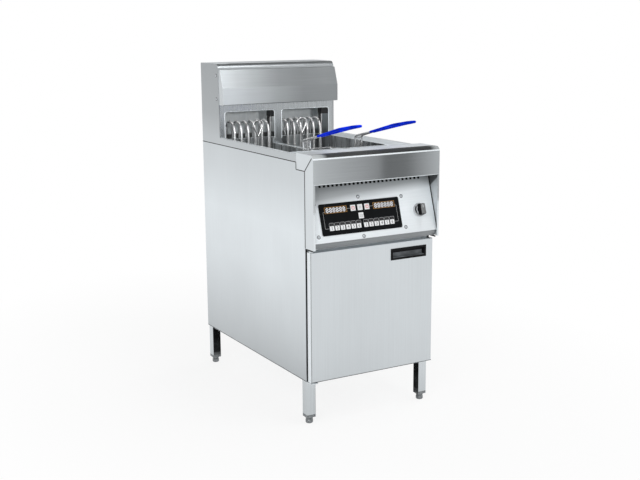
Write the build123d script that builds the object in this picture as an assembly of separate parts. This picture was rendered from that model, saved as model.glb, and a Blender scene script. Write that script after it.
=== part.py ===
from build123d import *
import math
import os

# Double deep fryer: a floor-standing electric fryer with two tanks and two baskets.
# Millimetres, +Z up, front towards -Y, +X to the right as seen from the front.
# The origin is on the floor, under the middle of the whole part's box.

# Cabinet
BODY_WIDTH = 440.0
BODY_DEPTH = 770.0
HANDLE_REACH = 53.0        # how far the foremost grip stands out past the brow
SHEET = 1.2
SEAM = 0.8                 # open joint between neighbouring sheets
BEND = 2.5                 # radius of a folded sheet
FIT = 0.3                  # clearance between a piece and the one it sits in
RUNNING_FIT = 0.05         # radial clearance of a pin or shaft in its hole
ROUND_SIDES = 10           # flat sides of a small round piece
WIRE_SIDES = 6             # flat sides of a wire, a tube or a screw's shank
BEND_STEP = 30.0           # degrees of a wire's bend in each straight step
SIDE_HEIGHT = 656.0        # side panel, bottom edge to the long seam
FRONT_RETURN = 15.0        # inward fold at the side panel's front edge
BASE_SHEET = 1.5
BASE_LIP = 25.0

# Legs and levelling feet
LEG_SIZE = 30.0
LEG_HEIGHT = 115.0
LEG_WALL = 1.5
LEG_INSET = 2.0
LEG_PLUG = 10.0
FOOT_HEIGHT = 20.0
FOOT_DIAMETER = 23.0
FOOT_STUD = 10.0
FOOT_STUD_LENGTH = 36.0

# Head: brow, cheeks and control fascia
CHEEK_DEPTH = 50.2
CHEEK_HEM = 5.0            # fold along the front edge of a cheek
CAP_DEPTH = 101.2
CAP_DROP = 22.0            # how far the cap's side flange hangs below the long seam
RAIL_HEIGHT = 22.0
BROW_RISE = 6.0            # the brow stands this far above the rails
BROW_FACE = 86.0
BROW_ROUND = 15.0
FASCIA_HEIGHT = 170.0
FASCIA_LEAN = 53.0
FASCIA_SETBACK = 4.0       # lower edge of the fascia behind the brow's front
NOSE_DROP = 19.0
NOSE_DEPTH = 14.0
VENT_COUNT = 25
VENT_PITCH = 14.5
VENT_WIDTH = 6.0
VENT_HEIGHT = 5.0
VENT_UP = 165.0            # along the fascia, from its lower edge
VENT_CENTRE_X = 5.0

# Control overlay, keys and displays, placed on the fascia
OVERLAY_WIDTH = 277.0
OVERLAY_HEIGHT = 93.5
OVERLAY_THICK = 2.0
OVERLAY_CORNER = 5.0
OVERLAY_LEFT = 36.0        # from the left side of the body
OVERLAY_UP = 66.3
OVERLAY_RIM = 5.0          # glued border round the opening behind the overlay
FUNCTION_KEY = (16.5, 17.5)
FUNCTION_PITCH = 24.2
FUNCTION_UP = 27.2         # above the overlay's middle
LONE_KEY_UP = 2.4
PRODUCT_KEY = (14.5, 13.5)
PRODUCT_PITCH = 18.5
PRODUCT_COUNT = 6          # keys in each of the two groups
PRODUCT_GROUP = 58.5       # middle of a group to the overlay's middle
PRODUCT_DOWN = 26.5        # below the overlay's middle
KEY_PROUD = 0.6
KEY_FLANGE = 1.0
KEY_STEM = 6.0
KEY_TRAVEL = 0.5
DISPLAY_SIZE = (75.0, 18.0)
DISPLAY_OFFSET = 83.5
DISPLAY_UP = 27.0
DISPLAY_SUNK = 0.4
BOARD_DEPTH = 7.0          # fascia's outer face to the circuit board
BOARD_THICK = 1.6
BOARD_MARGIN = 8.0
STANDOFF_DIAMETER = 9.0
CORNER_SCREW = (151.5, 47.5)
MIDDLE_SCREW_UP = 59.0
SCREW_DIAMETER = 4.0
SCREW_HEAD = 9.0
SCREW_HEAD_HEIGHT = 2.2
SCREW_TAPER = 25.0
SCREW_LENGTH = 10.0

# Power switch
KNOB_X = 163.0
KNOB_UP = 66.4
SWITCH_RING = 40.0
SWITCH_RING_HEIGHT = 5.0
SWITCH_NECK = 18.0         # through the hole in the fascia
SWITCH_BODY = 36.0
SWITCH_BODY_DEPTH = 42.0
KNOB_DISC = 36.0
KNOB_DISC_HEIGHT = 4.0
KNOB_GRIP_LENGTH = 37.0
KNOB_GRIP_WIDTH = 15.0
KNOB_GRIP_HEIGHT = 15.0
KNOB_GRIP_TAPER = 4.0
KNOB_SHAFT = 8.0
KNOB_SHAFT_LENGTH = 22.0

# Deck and tanks
DECK_RECESS = 11.0
DECK_RIM = 12.0            # flat top of the rim at each side
DECK_FRONT_RIM = 10.0
DECK_FRONT_FLAT = 19.8     # level deck in front of the tanks
DECK_TAIL = 12.0           # deck behind the tanks' rear rims
TANK_SETBACK = 236.0       # brow front to the tanks' front wall
TANK_REACH = 35.0          # rear wall of the tanks behind the splash panel
TANK_SIDE = 32.0           # from the side of the body to a tank
TANK_GAP = 28.0
DIVIDER_DROP = 20.0        # deck down to the divider between the tanks
TANK_DEPTH = 242.0
TANK_WALL = 1.2
TANK_CORNER = 20.0
TANK_FLANGE = 6.5
LEDGE_WIDTH = 10.0
LEDGE_THICK = 3.0
LEDGE_DEPTH = 162.0        # deck down to the top of the ledges that carry a rack

# Riser: shell, splash panel and hood
RISER_DEPTH = 140.0
RISER_HEIGHT = 244.0       # above the rails
RISER_ROUND = 20.0
RISER_LIP = 24.0
WINDOW_SIDE = 20.5         # from the side of the body to a window
WINDOW_POST = 27.0
WINDOW_HEIGHT = 96.5       # above the deck
WINDOW_CORNER = 9.0
HOOD_DEPTH = 30.0
HOOD_LEAN = 20.0
HOOD_BOTTOM = 120.0        # above the deck
HOOD_FACE = 56.0
HOOD_SLOPE = 59.0
HOOD_TAIL = 31.0
HOOD_TAIL_INSET = 8.0
HOOD_SCREW_BACK = 18.0     # behind the splash panel's front
HOOD_SCREW_INSET = 19.0

# Heating elements and thermostat probes
ELEMENT_TUBE = 8.0
ELEMENT_SIDE = 23.25       # tank wall to the middle of the outermost arch
ELEMENT_ARCHES = 6         # in each tank
ARCH_RADIUS = 35.5
ARCH_RISE = 59.0           # deck to the crown of the arch's centre line
ARCH_SHIFT = 0.5           # middle of the arch behind the tank's rear wall
ELEMENT_FLOOR = 46.0       # tank floor to the centre line of the lower runs
ELEMENT_FRONT_GAP = 40.0
ELEMENT_BEND = 20.0
CLAMP_DROP = 12.0          # deck to the top of the clamp
CLAMP_PLATE = 4.0
CLAMP_BLOCK = (24.0, 26.0)
CLAMP_MARGIN = 14.0
PROBE_SIDE = 13.0          # from the tank's right wall
PROBE_BLOCK = (30.0, 26.0, 23.0)
PROBE_SLEEVE = 9.0
PROBE_SLEEVE_LENGTH = 50.0
PROBE_TUBE = 5.0
PROBE_TUBE_GAP = 7.0
PROBE_TUBE_DEPTH = 160.0   # below the deck
PROBE_BACK = 20.0          # behind the splash panel

# Racks that carry the baskets
RACK_ROD = 6.0
RACK_SIDE_GAP = 9.0        # tank wall to the middle of a side rod
RACK_FRONT_GAP = 16.0
RACK_CROSS_RODS = 6
HOOK_BACK = 47.0           # hook in front of the splash panel
HOOK_SHIFT = (1.0, -35.0)  # from the middle of the left and the right tank
HOOK_APEX = 13.0           # above the deck
HOOK_HEIGHT = 54.0
HOOK_WIDTH = 53.0
HOOK_ROUND = 15.0

# Baskets and their handles
BASKET_SIDE_GAP = 12.0     # from the tank's side walls
BASKET_HEIGHT = 120.0
BASKET_FRONT_GAP = 16.0    # behind the tank's front wall
BASKET_STAGGER = 24.0      # the right basket hangs this far behind the left one
BASKET_REAR_GAP = 15.0     # in front of the hook
NET_THICK = 2.0
NET_STRAND = 4.0
NET_ROWS = 3
NET_SHORT_COUNT = 4
NET_LONG_COUNT = 7
RIM_ROD = 6.0
HANDLE_WIRE = 6.0
HANDLE_SPREAD = 24.0       # between the two wires at the basket
HANDLE_FOOT = 50.0         # length of wire down the front net
HANDLE_RISE = 68.0         # bend above the rim
HANDLE_BEND = 10.0
TONGUE_FOOT = 20.0         # net between the wires, below the rim
TONGUE_DOWN = 6.0          # its top under the bend
TONGUE_OPENINGS = 3
GRIP_DIAMETER = 7.5
GRIP_SIDES = 8
GRIP_WAIST = 18.0          # between the limbs where they are closest
GRIP_START = 72.0          # from the bend to the waist
GRIP_LAP = 8.0             # bare wire past the waist
GRIP_KNEE = 40.0           # where it is widest
GRIP_TIP = 27.0            # at its closed end
GRIP_RISE = (53.0, 13.0)   # over the inner and the outer stretch
GRIP_OUTER = 71.0
GRIP_END_ROUND = 13.0
GRIP_SWEEP = 90.0

# Door
DOOR_SETBACK = 25.0
DOOR_THICK = 20.0
DOOR_SIDE_GAP = 3.0
DOOR_TOP_GAP = 11.0
DOOR_BOTTOM_GAP = 2.0
PIN_DIAMETER = 8.0
PIN_LENGTH = 22.0
PIN_INSET = 8.0            # from the door's left edge
PIN_BACK = 10.0            # behind the door's front
BRACKET_THICK = 3.0
BRACKET_TAB = 1.5
BRACKET_WIDTH = 24.0
BRACKET_TAB_HEIGHT = 24.0
COLLAR_DIAMETER = 14.0
PULL_WIDTH = 130.0
PULL_HEIGHT = 36.0
PULL_FRAME = 4.5
PULL_PROUD = 2.0
PULL_DEPTH = 15.0
PULL_WALL = 2.0
PULL_RIGHT = 25.0          # from the door's right edge
PULL_DOWN = 18.0           # from the door's top edge
CATCH = (40.0, 16.0)
CATCH_RIGHT = 30.0
CATCH_DOWN = 6.0

# Inside the cabinet
TRAY_DEPTH = 165.0
TRAY_LIP = 40.0
CONTACTOR = (45.0, 72.0, 82.0)
CONTACTOR_CAP = 14.0
CONTACTOR_COUNT = 3
CONTACTOR_PITCH = 64.0
CONTACTOR_BACK = 64.0      # behind the tray's front edge
DRAIN_BACK = 70.0          # behind the tanks' front wall
DRAIN_PIPE = 27.0
DRAIN_NECK = 34.0
DRAIN_OUTLET = 30.0
VALVE_BODY = (46.0, 46.0, 60.0)
VALVE_STEM = 10.0
VALVE_BOSS = 18.0
VALVE_BOSS_LENGTH = 12.0
LEVER_HUB = 24.0
LEVER_LENGTH = 92.0
LEVER_WIDTH = 18.0
LEVER_THICK = 5.0
TERMINAL_BLOCK = (90.0, 34.0, 40.0)
TERMINAL_POLES = 5
TERMINAL_SLOT = 5.0
GLAND_THREAD = 20.0
GLAND_BODY = 27.0
GLAND_HEIGHT = 20.0
GLAND_BORE = 13.0
GLAND_NUT = 5.0
GLAND_FROM_REAR = 58.0
LOUVRE_COUNT = 6
LOUVRE_SIZE = (150.0, 6.0)
LOUVRE_PITCH = 18.0
LOUVRE_DOWN = 40.0

# Places worked out from the sizes above
HALF = BODY_WIDTH / 2
INNER = HALF - SHEET
Y_FRONT = HANDLE_REACH - (BODY_DEPTH + HANDLE_REACH) / 2
Y_REAR = Y_FRONT + BODY_DEPTH
Y_BACK = Y_REAR - SHEET
Y_CHEEK = Y_FRONT + CHEEK_DEPTH
Y_CABINET = Y_CHEEK + SEAM
Y_CAP = Y_FRONT + CAP_DEPTH
Y_RAIL = Y_CAP + SEAM
Y_SPLASH = Y_REAR - RISER_DEPTH
Y_TANK = Y_FRONT + TANK_SETBACK
Y_TANK_REAR = Y_SPLASH + TANK_REACH
Y_HOOK = Y_SPLASH - HOOK_BACK
Z_BASE = FOOT_HEIGHT + LEG_HEIGHT
Z_SEAM = Z_BASE + SIDE_HEIGHT
Z_STEP = Z_SEAM - CAP_DROP
Z_RAIL = Z_SEAM + RAIL_HEIGHT
Z_BROW = Z_RAIL + BROW_RISE
Z_BROW_FOOT = Z_BROW - BROW_FACE
Z_FASCIA = Z_BROW_FOOT - FASCIA_HEIGHT
Z_HEAD = Z_FASCIA - NOSE_DROP
Z_DECK = Z_RAIL - DECK_RECESS
Z_TOP = Z_RAIL + RISER_HEIGHT
Z_DIVIDER = Z_DECK - DIVIDER_DROP
Z_TANK = Z_DECK - TANK_DEPTH
Z_LEDGE = Z_DECK - LEDGE_DEPTH
Z_RACK = Z_LEDGE + FIT
Z_BASKET = Z_RACK + RACK_ROD + FIT
Z_RIM = Z_BASKET + BASKET_HEIGHT
Z_TRAY = Z_HEAD + SHEET
TANK_LENGTH = Y_TANK_REAR - Y_TANK
TANK_WIDTH = (BODY_WIDTH - TANK_GAP) / 2 - TANK_SIDE
TANK_X = (TANK_GAP + TANK_WIDTH) / 2
TANKS = {"left": -TANK_X, "right": TANK_X}
WINDOW_WIDTH = HALF - WINDOW_POST / 2 - WINDOW_SIDE
ELEMENT_PITCH = (TANK_WIDTH - 2 * ELEMENT_SIDE) / (ELEMENT_ARCHES - 1)
RACK_WIDTH = TANK_WIDTH - 2 * RACK_SIDE_GAP
Y_BASKETS = (Y_TANK + BASKET_FRONT_GAP, Y_TANK + BASKET_FRONT_GAP + BASKET_STAGGER)
BASKET_WIDTH = TANK_WIDTH - 2 * BASKET_SIDE_GAP
BASKET_LENGTH = Y_HOOK - BASKET_REAR_GAP - max(Y_BASKETS)
Y_DOOR = Y_FRONT + DOOR_SETBACK
Z_DOOR = Z_BASE + DOOR_BOTTOM_GAP
Z_DOOR_TOP = Z_HEAD - DOOR_TOP_GAP
DOOR_HALF = HALF - DOOR_SIDE_GAP
PIN_X = PIN_INSET - DOOR_HALF
PIN_Y = Y_DOOR + PIN_BACK
FASCIA_SLOPE = math.hypot(FASCIA_LEAN, FASCIA_HEIGHT)
FASCIA_NORMAL = (0, -FASCIA_HEIGHT / FASCIA_SLOPE, FASCIA_LEAN / FASCIA_SLOPE)
FASCIA_FACE = Plane((0, Y_FRONT + FASCIA_SETBACK, Z_FASCIA), x_dir=(1, 0, 0), z_dir=FASCIA_NORMAL)
OVERLAY_X = OVERLAY_LEFT + OVERLAY_WIDTH / 2 - HALF
OVERLAY_FACE = FASCIA_FACE.location * Pos(OVERLAY_X, OVERLAY_UP, 0)
KNOB_FACE = FASCIA_FACE.location * Pos(KNOB_X, KNOB_UP, 0)
THROUGH = 4 * SHEET        # length of a cut that goes right through a sheet


def block(x0, x1, y0, y1, z0, z1):
    """A box between two corners."""
    return Pos((x0 + x1) / 2, (y0 + y1) / 2, (z0 + z1) / 2) * Box(x1 - x0, y1 - y0, z1 - z0)


def both_sides(shape):
    """A shape and its mirror image across the middle."""
    return [shape, mirror(shape, about=Plane.YZ)]


def side_outline(points, x0, x1, rounds=()):
    """A plate across X, from (y, z) points, with some corners rounded."""
    face = Polygon(*points, align=None)
    for corner, radius in rounds:
        face = fillet(face.vertices().sort_by_distance((*corner, 0))[0], radius)
    return extrude(Plane.YZ.offset(x0) * face, amount=x1 - x0, dir=(1, 0, 0))


def bent_sheet(points, radii, x0, x1, inside):
    """A sheet folded along (y, z) points, its thickness on the inside of the line."""
    line = FilletPolyline(*points, radius=radii)
    face = make_face(offset(line, amount=SHEET, side=inside, closed=True).edges())
    return extrude(Plane.YZ.offset(x0) * face, amount=x1 - x0, dir=(1, 0, 0))


def tub(width, length, corner, x, y, z0, z1):
    """An upright prism with rounded corners."""
    return Pos(x, y, z0) * extrude(RectangleRounded(width, length, corner), amount=z1 - z0)


def prism(diameter, length, sides=ROUND_SIDES):
    """An upright piece of flat sides, that wide across its flats."""
    return extrude(RegularPolygon(diameter / 2, sides, major_radius=False), amount=length)


def stepped(path):
    """Points along a path, with each bend divided into straight steps."""
    points = [path @ 0]
    for edge in path.edges():
        turn = edge.length / edge.radius if edge.geom_type == GeomType.CIRCLE else 0
        count = max(1, round(math.degrees(turn) / BEND_STEP))
        points += [edge @ (number / count) for number in range(1, count + 1)]
    return points


def rod(path, diameter, sides=WIRE_SIDES):
    """A rod of flat sides along a path, mitred at each step of a bend."""
    points = stepped(path)
    runs = [(after - before).normalized() for before, after in zip(points, points[1:])]
    start = Plane(points[0], z_dir=runs[0])
    corner = diameter / 2 / math.cos(math.pi / sides)
    turns = [2 * math.pi * number / sides for number in range(sides)]
    ring = [start.from_local_coords(Vector(corner * math.cos(a), corner * math.sin(a), 0)) for a in turns]
    faces = [Face(Wire.make_polygon(ring))]
    for point, run, after in zip(points[1:], runs, runs[1:] + runs[-1:]):
        mitre = run + after
        ahead = [place + run * ((point - place).dot(mitre) / run.dot(mitre)) for place in ring]
        for number in range(sides):
            low, high = ring[number - 1], ring[number]
            faces.append(Face(Wire.make_polygon([low, high, ahead[number], ahead[number - 1]])))
        ring = ahead
    faces.append(Face(Wire.make_polygon(ring)))
    return Part(children=[Solid(Shell(faces))])


def straight_rod(start, end, diameter, sides=WIRE_SIDES):
    """A straight rod with flat sides, one of them downwards."""
    path = Line(start, end)
    section = RegularPolygon(diameter / 2, sides, major_radius=False, rotation=180 / sides)
    return sweep(Plane(start, x_dir=(0, 0, 1), z_dir=path % 0) * section, path=path)


def side_panel():
    """Left side panel, stepped at the front under the cap, with a folded front edge."""
    outline = [
        (Y_CABINET, Z_BASE),
        (Y_CABINET, Z_STEP),
        (Y_RAIL, Z_STEP),
        (Y_RAIL, Z_SEAM),
        (Y_REAR, Z_SEAM),
        (Y_REAR, Z_BASE),
    ]
    sheet = side_outline(outline, -HALF, -INNER)
    edge = (Y_CABINET, Y_CABINET + SHEET, Z_BASE + BASE_LIP, Z_TRAY)
    return sheet + block(-INNER, FRONT_RETURN - INNER, *edge)


def base_pan():
    """Floor of the cabinet with upturned edges and the hole for the cable gland."""
    top = Z_BASE + BASE_LIP
    pan = block(-INNER, INNER, Y_CABINET, Y_BACK, Z_BASE, top)
    inside = INNER - BASE_SHEET
    pan -= block(-inside, inside, Y_CABINET + SHEET, Y_BACK - SHEET, Z_BASE + BASE_SHEET, top)
    return pan - Pos(0, Y_REAR - GLAND_FROM_REAR, Z_BASE) * prism(GLAND_THREAD + 2 * FIT, THROUGH)


def back_panel():
    """Back of the cabinet and riser, with vent slots near the top."""
    panel = block(-INNER, INNER, Y_BACK, Y_REAR, Z_BASE, Z_TOP - SHEET)
    for row in range(LOUVRE_COUNT):
        z = Z_TOP - LOUVRE_DOWN - row * LOUVRE_PITCH
        for x in TANKS.values():
            panel -= Pos(x, Y_REAR, z) * Box(LOUVRE_SIZE[0], THROUGH, LOUVRE_SIZE[1])
    return panel


def control_tray():
    """Shelf behind the fascia, with the door header folded down at its front."""
    shelf = block(-INNER, INNER, Y_CABINET, Y_CABINET + TRAY_DEPTH, Z_TRAY, Z_TRAY + SHEET)
    reach = INNER - FRONT_RETURN
    return shelf + block(-reach, reach, Y_CABINET, Y_CABINET + SHEET, Z_TRAY - TRAY_LIP, Z_TRAY)


def front_frame():
    """Brow, top cap and cheeks, one folded sheet with an open mitre at each side."""
    brow = [
        (Y_FRONT + FASCIA_SETBACK + FASCIA_LEAN, Z_BROW_FOOT),
        (Y_FRONT, Z_BROW_FOOT),
        (Y_FRONT, Z_BROW),
        (Y_CAP, Z_BROW),
        (Y_CAP, Z_DECK),
    ]
    frame = bent_sheet(brow, [BEND, BROW_ROUND, BEND], -INNER, INNER, Side.RIGHT)
    outline = [
        (Y_FRONT, Z_HEAD),
        (Y_FRONT, Z_BROW),
        (Y_CAP, Z_BROW),
        (Y_CAP, Z_STEP + SEAM),
        (Y_CHEEK, Z_STEP + SEAM),
        (Y_CHEEK, Z_HEAD),
    ]
    rounds = [((Y_FRONT, Z_BROW), BROW_ROUND), ((Y_CAP, Z_BROW), BEND)]
    cheek = side_outline(outline, -HALF, -INNER, rounds)
    rise = min(Z_BROW - Z_STEP - SEAM, CHEEK_DEPTH) - BROW_ROUND / 2
    mitre = Pos(-HALF, Y_CHEEK - rise / 2, Z_STEP + SEAM + rise / 2)
    cheek -= mitre * Rot(45, 0, 0) * Box(THROUGH, SEAM, rise * math.sqrt(2) + 2 * SEAM)
    hem = block(-INNER, CHEEK_HEM - INNER, Y_FRONT, Y_FRONT + SHEET, Z_HEAD, Z_BROW_FOOT)
    for piece in both_sides(cheek + hem):
        frame += piece
    return frame


def overlay_keys():
    """Name, size and place on the overlay of each key."""
    keys = {}
    for column, name in ((-1, "left_heat_key"), (0, "menu_key"), (1, "right_heat_key")):
        keys[name] = (FUNCTION_KEY, column * FUNCTION_PITCH, FUNCTION_UP)
    keys["timer_key"] = (FUNCTION_KEY, 0, LONE_KEY_UP)
    for side, group in (("left", -PRODUCT_GROUP), ("right", PRODUCT_GROUP)):
        for number in range(PRODUCT_COUNT):
            x = group + (number - (PRODUCT_COUNT - 1) / 2) * PRODUCT_PITCH
            keys[f"{side}_product_key_{number + 1}"] = (PRODUCT_KEY, x, -PRODUCT_DOWN)
    return keys


def overlay_screws():
    """Places on the overlay's plane of the six screws that hold the circuit board."""
    corners = [(i * CORNER_SCREW[0], j * CORNER_SCREW[1]) for i in (-1, 1) for j in (-1, 1)]
    return corners + [(0, MIDDLE_SCREW_UP), (0, -MIDDLE_SCREW_UP)]


def fascia():
    """Leaning control fascia with its bent nose, vent holes and openings."""
    y = Y_FRONT + FASCIA_SETBACK
    line = [
        (y + FASCIA_LEAN, Z_BROW_FOOT),
        (y, Z_FASCIA),
        (y + NOSE_DEPTH, Z_HEAD),
        (Y_CHEEK, Z_HEAD),
    ]
    sheet = bent_sheet(line, [2 * BEND, BEND], -INNER, INNER, Side.LEFT)
    sheet -= block(-HALF, HALF, y, Y_CHEEK, Z_BROW_FOOT, Z_BROW)
    face = FASCIA_FACE.location
    for number in range(VENT_COUNT):
        x = VENT_CENTRE_X + (number - (VENT_COUNT - 1) / 2) * VENT_PITCH
        sheet -= face * Pos(x, VENT_UP, 0) * Box(VENT_WIDTH, VENT_HEIGHT, THROUGH)
    opening = (OVERLAY_WIDTH - 2 * OVERLAY_RIM, OVERLAY_HEIGHT - 2 * OVERLAY_RIM)
    sheet -= OVERLAY_FACE * Box(*opening, THROUGH)
    for x, up in overlay_screws():
        sheet -= OVERLAY_FACE * Pos(x, up, 0) * screw_hole()
    return sheet - KNOB_FACE * Pos(0, 0, -THROUGH / 2) * prism(SWITCH_NECK + 2 * FIT, THROUGH)


def overlay_plate():
    """Front plate of the controls, with a pocket for each key and display."""
    plate = extrude(RectangleRounded(OVERLAY_WIDTH, OVERLAY_HEIGHT, OVERLAY_CORNER), amount=OVERLAY_THICK)
    for (width, height), x, up in overlay_keys().values():
        plate -= Pos(x, up, 0) * Box(width + 2 * FIT, height + 2 * FIT, THROUGH)
    for side in (-1, 1):
        width, height = DISPLAY_SIZE
        plate -= Pos(side * DISPLAY_OFFSET, DISPLAY_UP, 0) * Box(width, height, THROUGH)
    return OVERLAY_FACE * plate


def key(size, x, up):
    """A key cap on its flange, with the stem that presses the switch on the board."""
    width, height = size
    top = OVERLAY_THICK + KEY_PROUD
    flange_top = -FIT
    flange_foot = flange_top - KEY_FLANGE
    stem_foot = FIT + KEY_TRAVEL - BOARD_DEPTH
    cap = block(-width / 2, width / 2, -height / 2, height / 2, flange_top, top)
    wide = width / 2 + 2 * FIT + SHEET / 2
    tall = height / 2 + 2 * FIT + SHEET / 2
    flange = block(-wide, wide, -tall, tall, flange_foot, flange_top)
    half = KEY_STEM / 2
    stem = block(-half, half, -half, half, stem_foot, flange_foot)
    return OVERLAY_FACE * Pos(x, up, 0) * (cap + flange + stem)


def displays():
    """Two display modules that stand on the circuit board behind the overlay."""
    width, height = DISPLAY_SIZE
    module = block(-width / 2, width / 2, -height / 2, height / 2, -BOARD_DEPTH, OVERLAY_THICK - DISPLAY_SUNK)
    return [OVERLAY_FACE * Pos(side * DISPLAY_OFFSET, DISPLAY_UP, 0) * module for side in (-1, 1)]


def circuit_board():
    """Circuit board held behind the fascia on six standoffs."""
    width = 2 * (CORNER_SCREW[0] + BOARD_MARGIN)
    height = 2 * (MIDDLE_SCREW_UP + BOARD_MARGIN)
    board = block(-width / 2, width / 2, -height / 2, height / 2, -BOARD_DEPTH - BOARD_THICK, -BOARD_DEPTH)
    post_length = BOARD_DEPTH - SHEET
    for x, up in overlay_screws():
        post = Pos(x, up, -BOARD_DEPTH) * prism(STANDOFF_DIAMETER, post_length, WIRE_SIDES)
        hole = Pos(x, up, -2 * BOARD_DEPTH) * prism(SCREW_DIAMETER + 2 * FIT, 2 * BOARD_DEPTH, WIRE_SIDES)
        board = board + post - hole
    return OVERLAY_FACE * board


def pan_screw():
    """A pan-head screw, its head above the plane and its shank below."""
    head = extrude(RegularPolygon(SCREW_HEAD / 2, ROUND_SIDES), amount=SCREW_HEAD_HEIGHT, taper=SCREW_TAPER)
    return head + Pos(0, 0, -SCREW_LENGTH) * prism(SCREW_DIAMETER, SCREW_LENGTH, WIRE_SIDES)


def screw_hole():
    """Cut for a screw through a sheet."""
    return Pos(0, 0, -THROUGH / 2) * prism(SCREW_DIAMETER + 2 * FIT, THROUGH, WIRE_SIDES)


def hood_screw_places():
    """The (y, z) places of the screws that hold the hood at each side."""
    low = Z_DECK + HOOD_BOTTOM
    high = low + HOOD_FACE + HOOD_SLOPE
    return [(Y_SPLASH + HOOD_SCREW_BACK, z) for z in (low + HOOD_SCREW_INSET, high - HOOD_SCREW_INSET)]


def cover_screws():
    """Six screws through the fascia and two through each side of the riser."""
    screws = [OVERLAY_FACE * Pos(x, up, 0) * pan_screw() for x, up in overlay_screws()]
    for y, z in hood_screw_places():
        screws += both_sides(Pos(-HALF, y, z) * Rot(0, -90, 0) * pan_screw())
    return screws


def power_switch():
    """Base ring on the fascia and the switch body behind it, bored for the knob's shaft."""
    ring = prism(SWITCH_RING, SWITCH_RING_HEIGHT, 2 * ROUND_SIDES)
    ring = chamfer(ring.faces().sort_by(Axis.Z)[-1].edges(), SWITCH_RING_HEIGHT / 3)
    neck = Pos(0, 0, -SHEET) * prism(SWITCH_NECK, SHEET)
    body = Pos(0, 0, -SHEET - SWITCH_BODY_DEPTH / 2) * Box(SWITCH_BODY, SWITCH_BODY, SWITCH_BODY_DEPTH)
    bore = Cylinder(KNOB_SHAFT / 2 + RUNNING_FIT, 2 * (KNOB_SHAFT_LENGTH + FIT))
    return KNOB_FACE * (ring + neck + body - bore)


def power_knob():
    """Rotary knob: a disc, an upright bar grip with rounded ends and a shaft."""
    foot = SWITCH_RING_HEIGHT + FIT
    disc = Pos(0, 0, foot) * prism(KNOB_DISC, KNOB_DISC_HEIGHT, 2 * ROUND_SIDES)
    grip_face = Rectangle(KNOB_GRIP_WIDTH, KNOB_GRIP_LENGTH)
    grip_face = chamfer(grip_face.vertices(), KNOB_GRIP_WIDTH / 3)
    grip_foot = foot + KNOB_DISC_HEIGHT
    grip = Pos(0, 0, grip_foot) * extrude(grip_face, amount=KNOB_GRIP_HEIGHT, taper=KNOB_GRIP_TAPER)
    grip = chamfer(grip.faces().sort_by(Axis.Z)[-1].edges(), BEND / 2)
    shaft_foot = -KNOB_SHAFT_LENGTH
    shaft = Pos(0, 0, (foot + shaft_foot) / 2) * Cylinder(KNOB_SHAFT / 2, foot - shaft_foot)
    return KNOB_FACE * (disc + grip + shaft)


def divider_run():
    """Front and rear ends of the lowered divider."""
    return Y_TANK + TANK_CORNER, Y_TANK_REAR - TANK_CORNER


def deck():
    """Pressed deck: a rim, slopes down to the recess, two tank openings and a lower divider."""
    rear = Y_TANK_REAR + DECK_TAIL
    solid = block(-INNER, INNER, Y_CAP, rear, Z_TANK, Z_RAIL)
    upper = INNER - DECK_RIM
    lower = upper - DECK_RECESS
    front = Y_CAP + DECK_FRONT_RIM
    flat = Y_TANK - DECK_FRONT_FLAT
    floor = Pos(0, (flat + rear) / 2, Z_DECK)
    mouth = Pos(0, (front + rear) / 2, Z_RAIL)
    pocket = loft([
        floor * Rectangle(2 * lower, rear - flat),
        mouth * Rectangle(2 * upper, rear - front),
    ])
    solid -= pocket
    solid -= block(-INNER, INNER, Y_SPLASH, rear, Z_DECK, Z_RAIL)
    solid -= block(-TANK_GAP, TANK_GAP, *divider_run(), Z_DIVIDER, Z_DECK)
    sheet = solid - Pos(0, 0, -SHEET) * solid
    for x in TANKS.values():
        hole = (TANK_WIDTH + 2 * FIT, TANK_LENGTH + 2 * FIT, TANK_CORNER + FIT)
        sheet -= tub(*hole, x, (Y_TANK + Y_TANK_REAR) / 2, Z_TANK, Z_RAIL)
    edge = TANK_GAP / 2 - FIT
    low_front, low_rear = divider_run()
    for y in (low_front - SHEET, low_rear):
        sheet += block(-edge, edge, y, y + SHEET, Z_DIVIDER - SHEET, Z_DECK)
    return sheet


def tank(x):
    """A tank hung in the deck by its flange, low beside the divider, and the two ledges for the rack."""
    y = (Y_TANK + Y_TANK_REAR) / 2
    wide = TANK_WIDTH + 2 * TANK_FLANGE
    long = TANK_LENGTH + 2 * TANK_FLANGE
    shell = tub(TANK_WIDTH, TANK_LENGTH, TANK_CORNER, x, y, Z_TANK, Z_DECK)
    shell += tub(wide, long, TANK_CORNER + TANK_FLANGE, x, y, Z_DECK, Z_DECK + SHEET)
    inside = (TANK_WIDTH - 2 * TANK_WALL, TANK_LENGTH - 2 * TANK_WALL, TANK_CORNER - TANK_WALL)
    shell -= tub(*inside, x, y, Z_TANK + TANK_WALL, Z_DECK + SHEET)
    inner = sorted((math.copysign(TANK_GAP / 2 + TANK_WALL, x), 0))
    shell -= block(*inner, *divider_run(), Z_DIVIDER, Z_DECK + SHEET)
    lip = sorted((math.copysign(TANK_GAP / 2 + TANK_WALL, x), math.copysign(TANK_GAP / 2 - TANK_FLANGE, x)))
    shell += block(*lip, *divider_run(), Z_DIVIDER, Z_DIVIDER + SHEET)
    wall = TANK_WIDTH / 2 - TANK_WALL
    run = (Y_TANK + RACK_FRONT_GAP + TANK_CORNER, Y_HOOK - TANK_CORNER)
    shell -= Pos(x, Y_TANK + DRAIN_BACK, Z_TANK) * prism(DRAIN_PIPE - 2 * TANK_WALL, THROUGH)
    height = (Z_LEDGE - LEDGE_THICK, Z_LEDGE)
    edges = (x - wall, x + wall - LEDGE_WIDTH)
    return [shell] + [block(edge, edge + LEDGE_WIDTH, *run, *height) for edge in edges]


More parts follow.
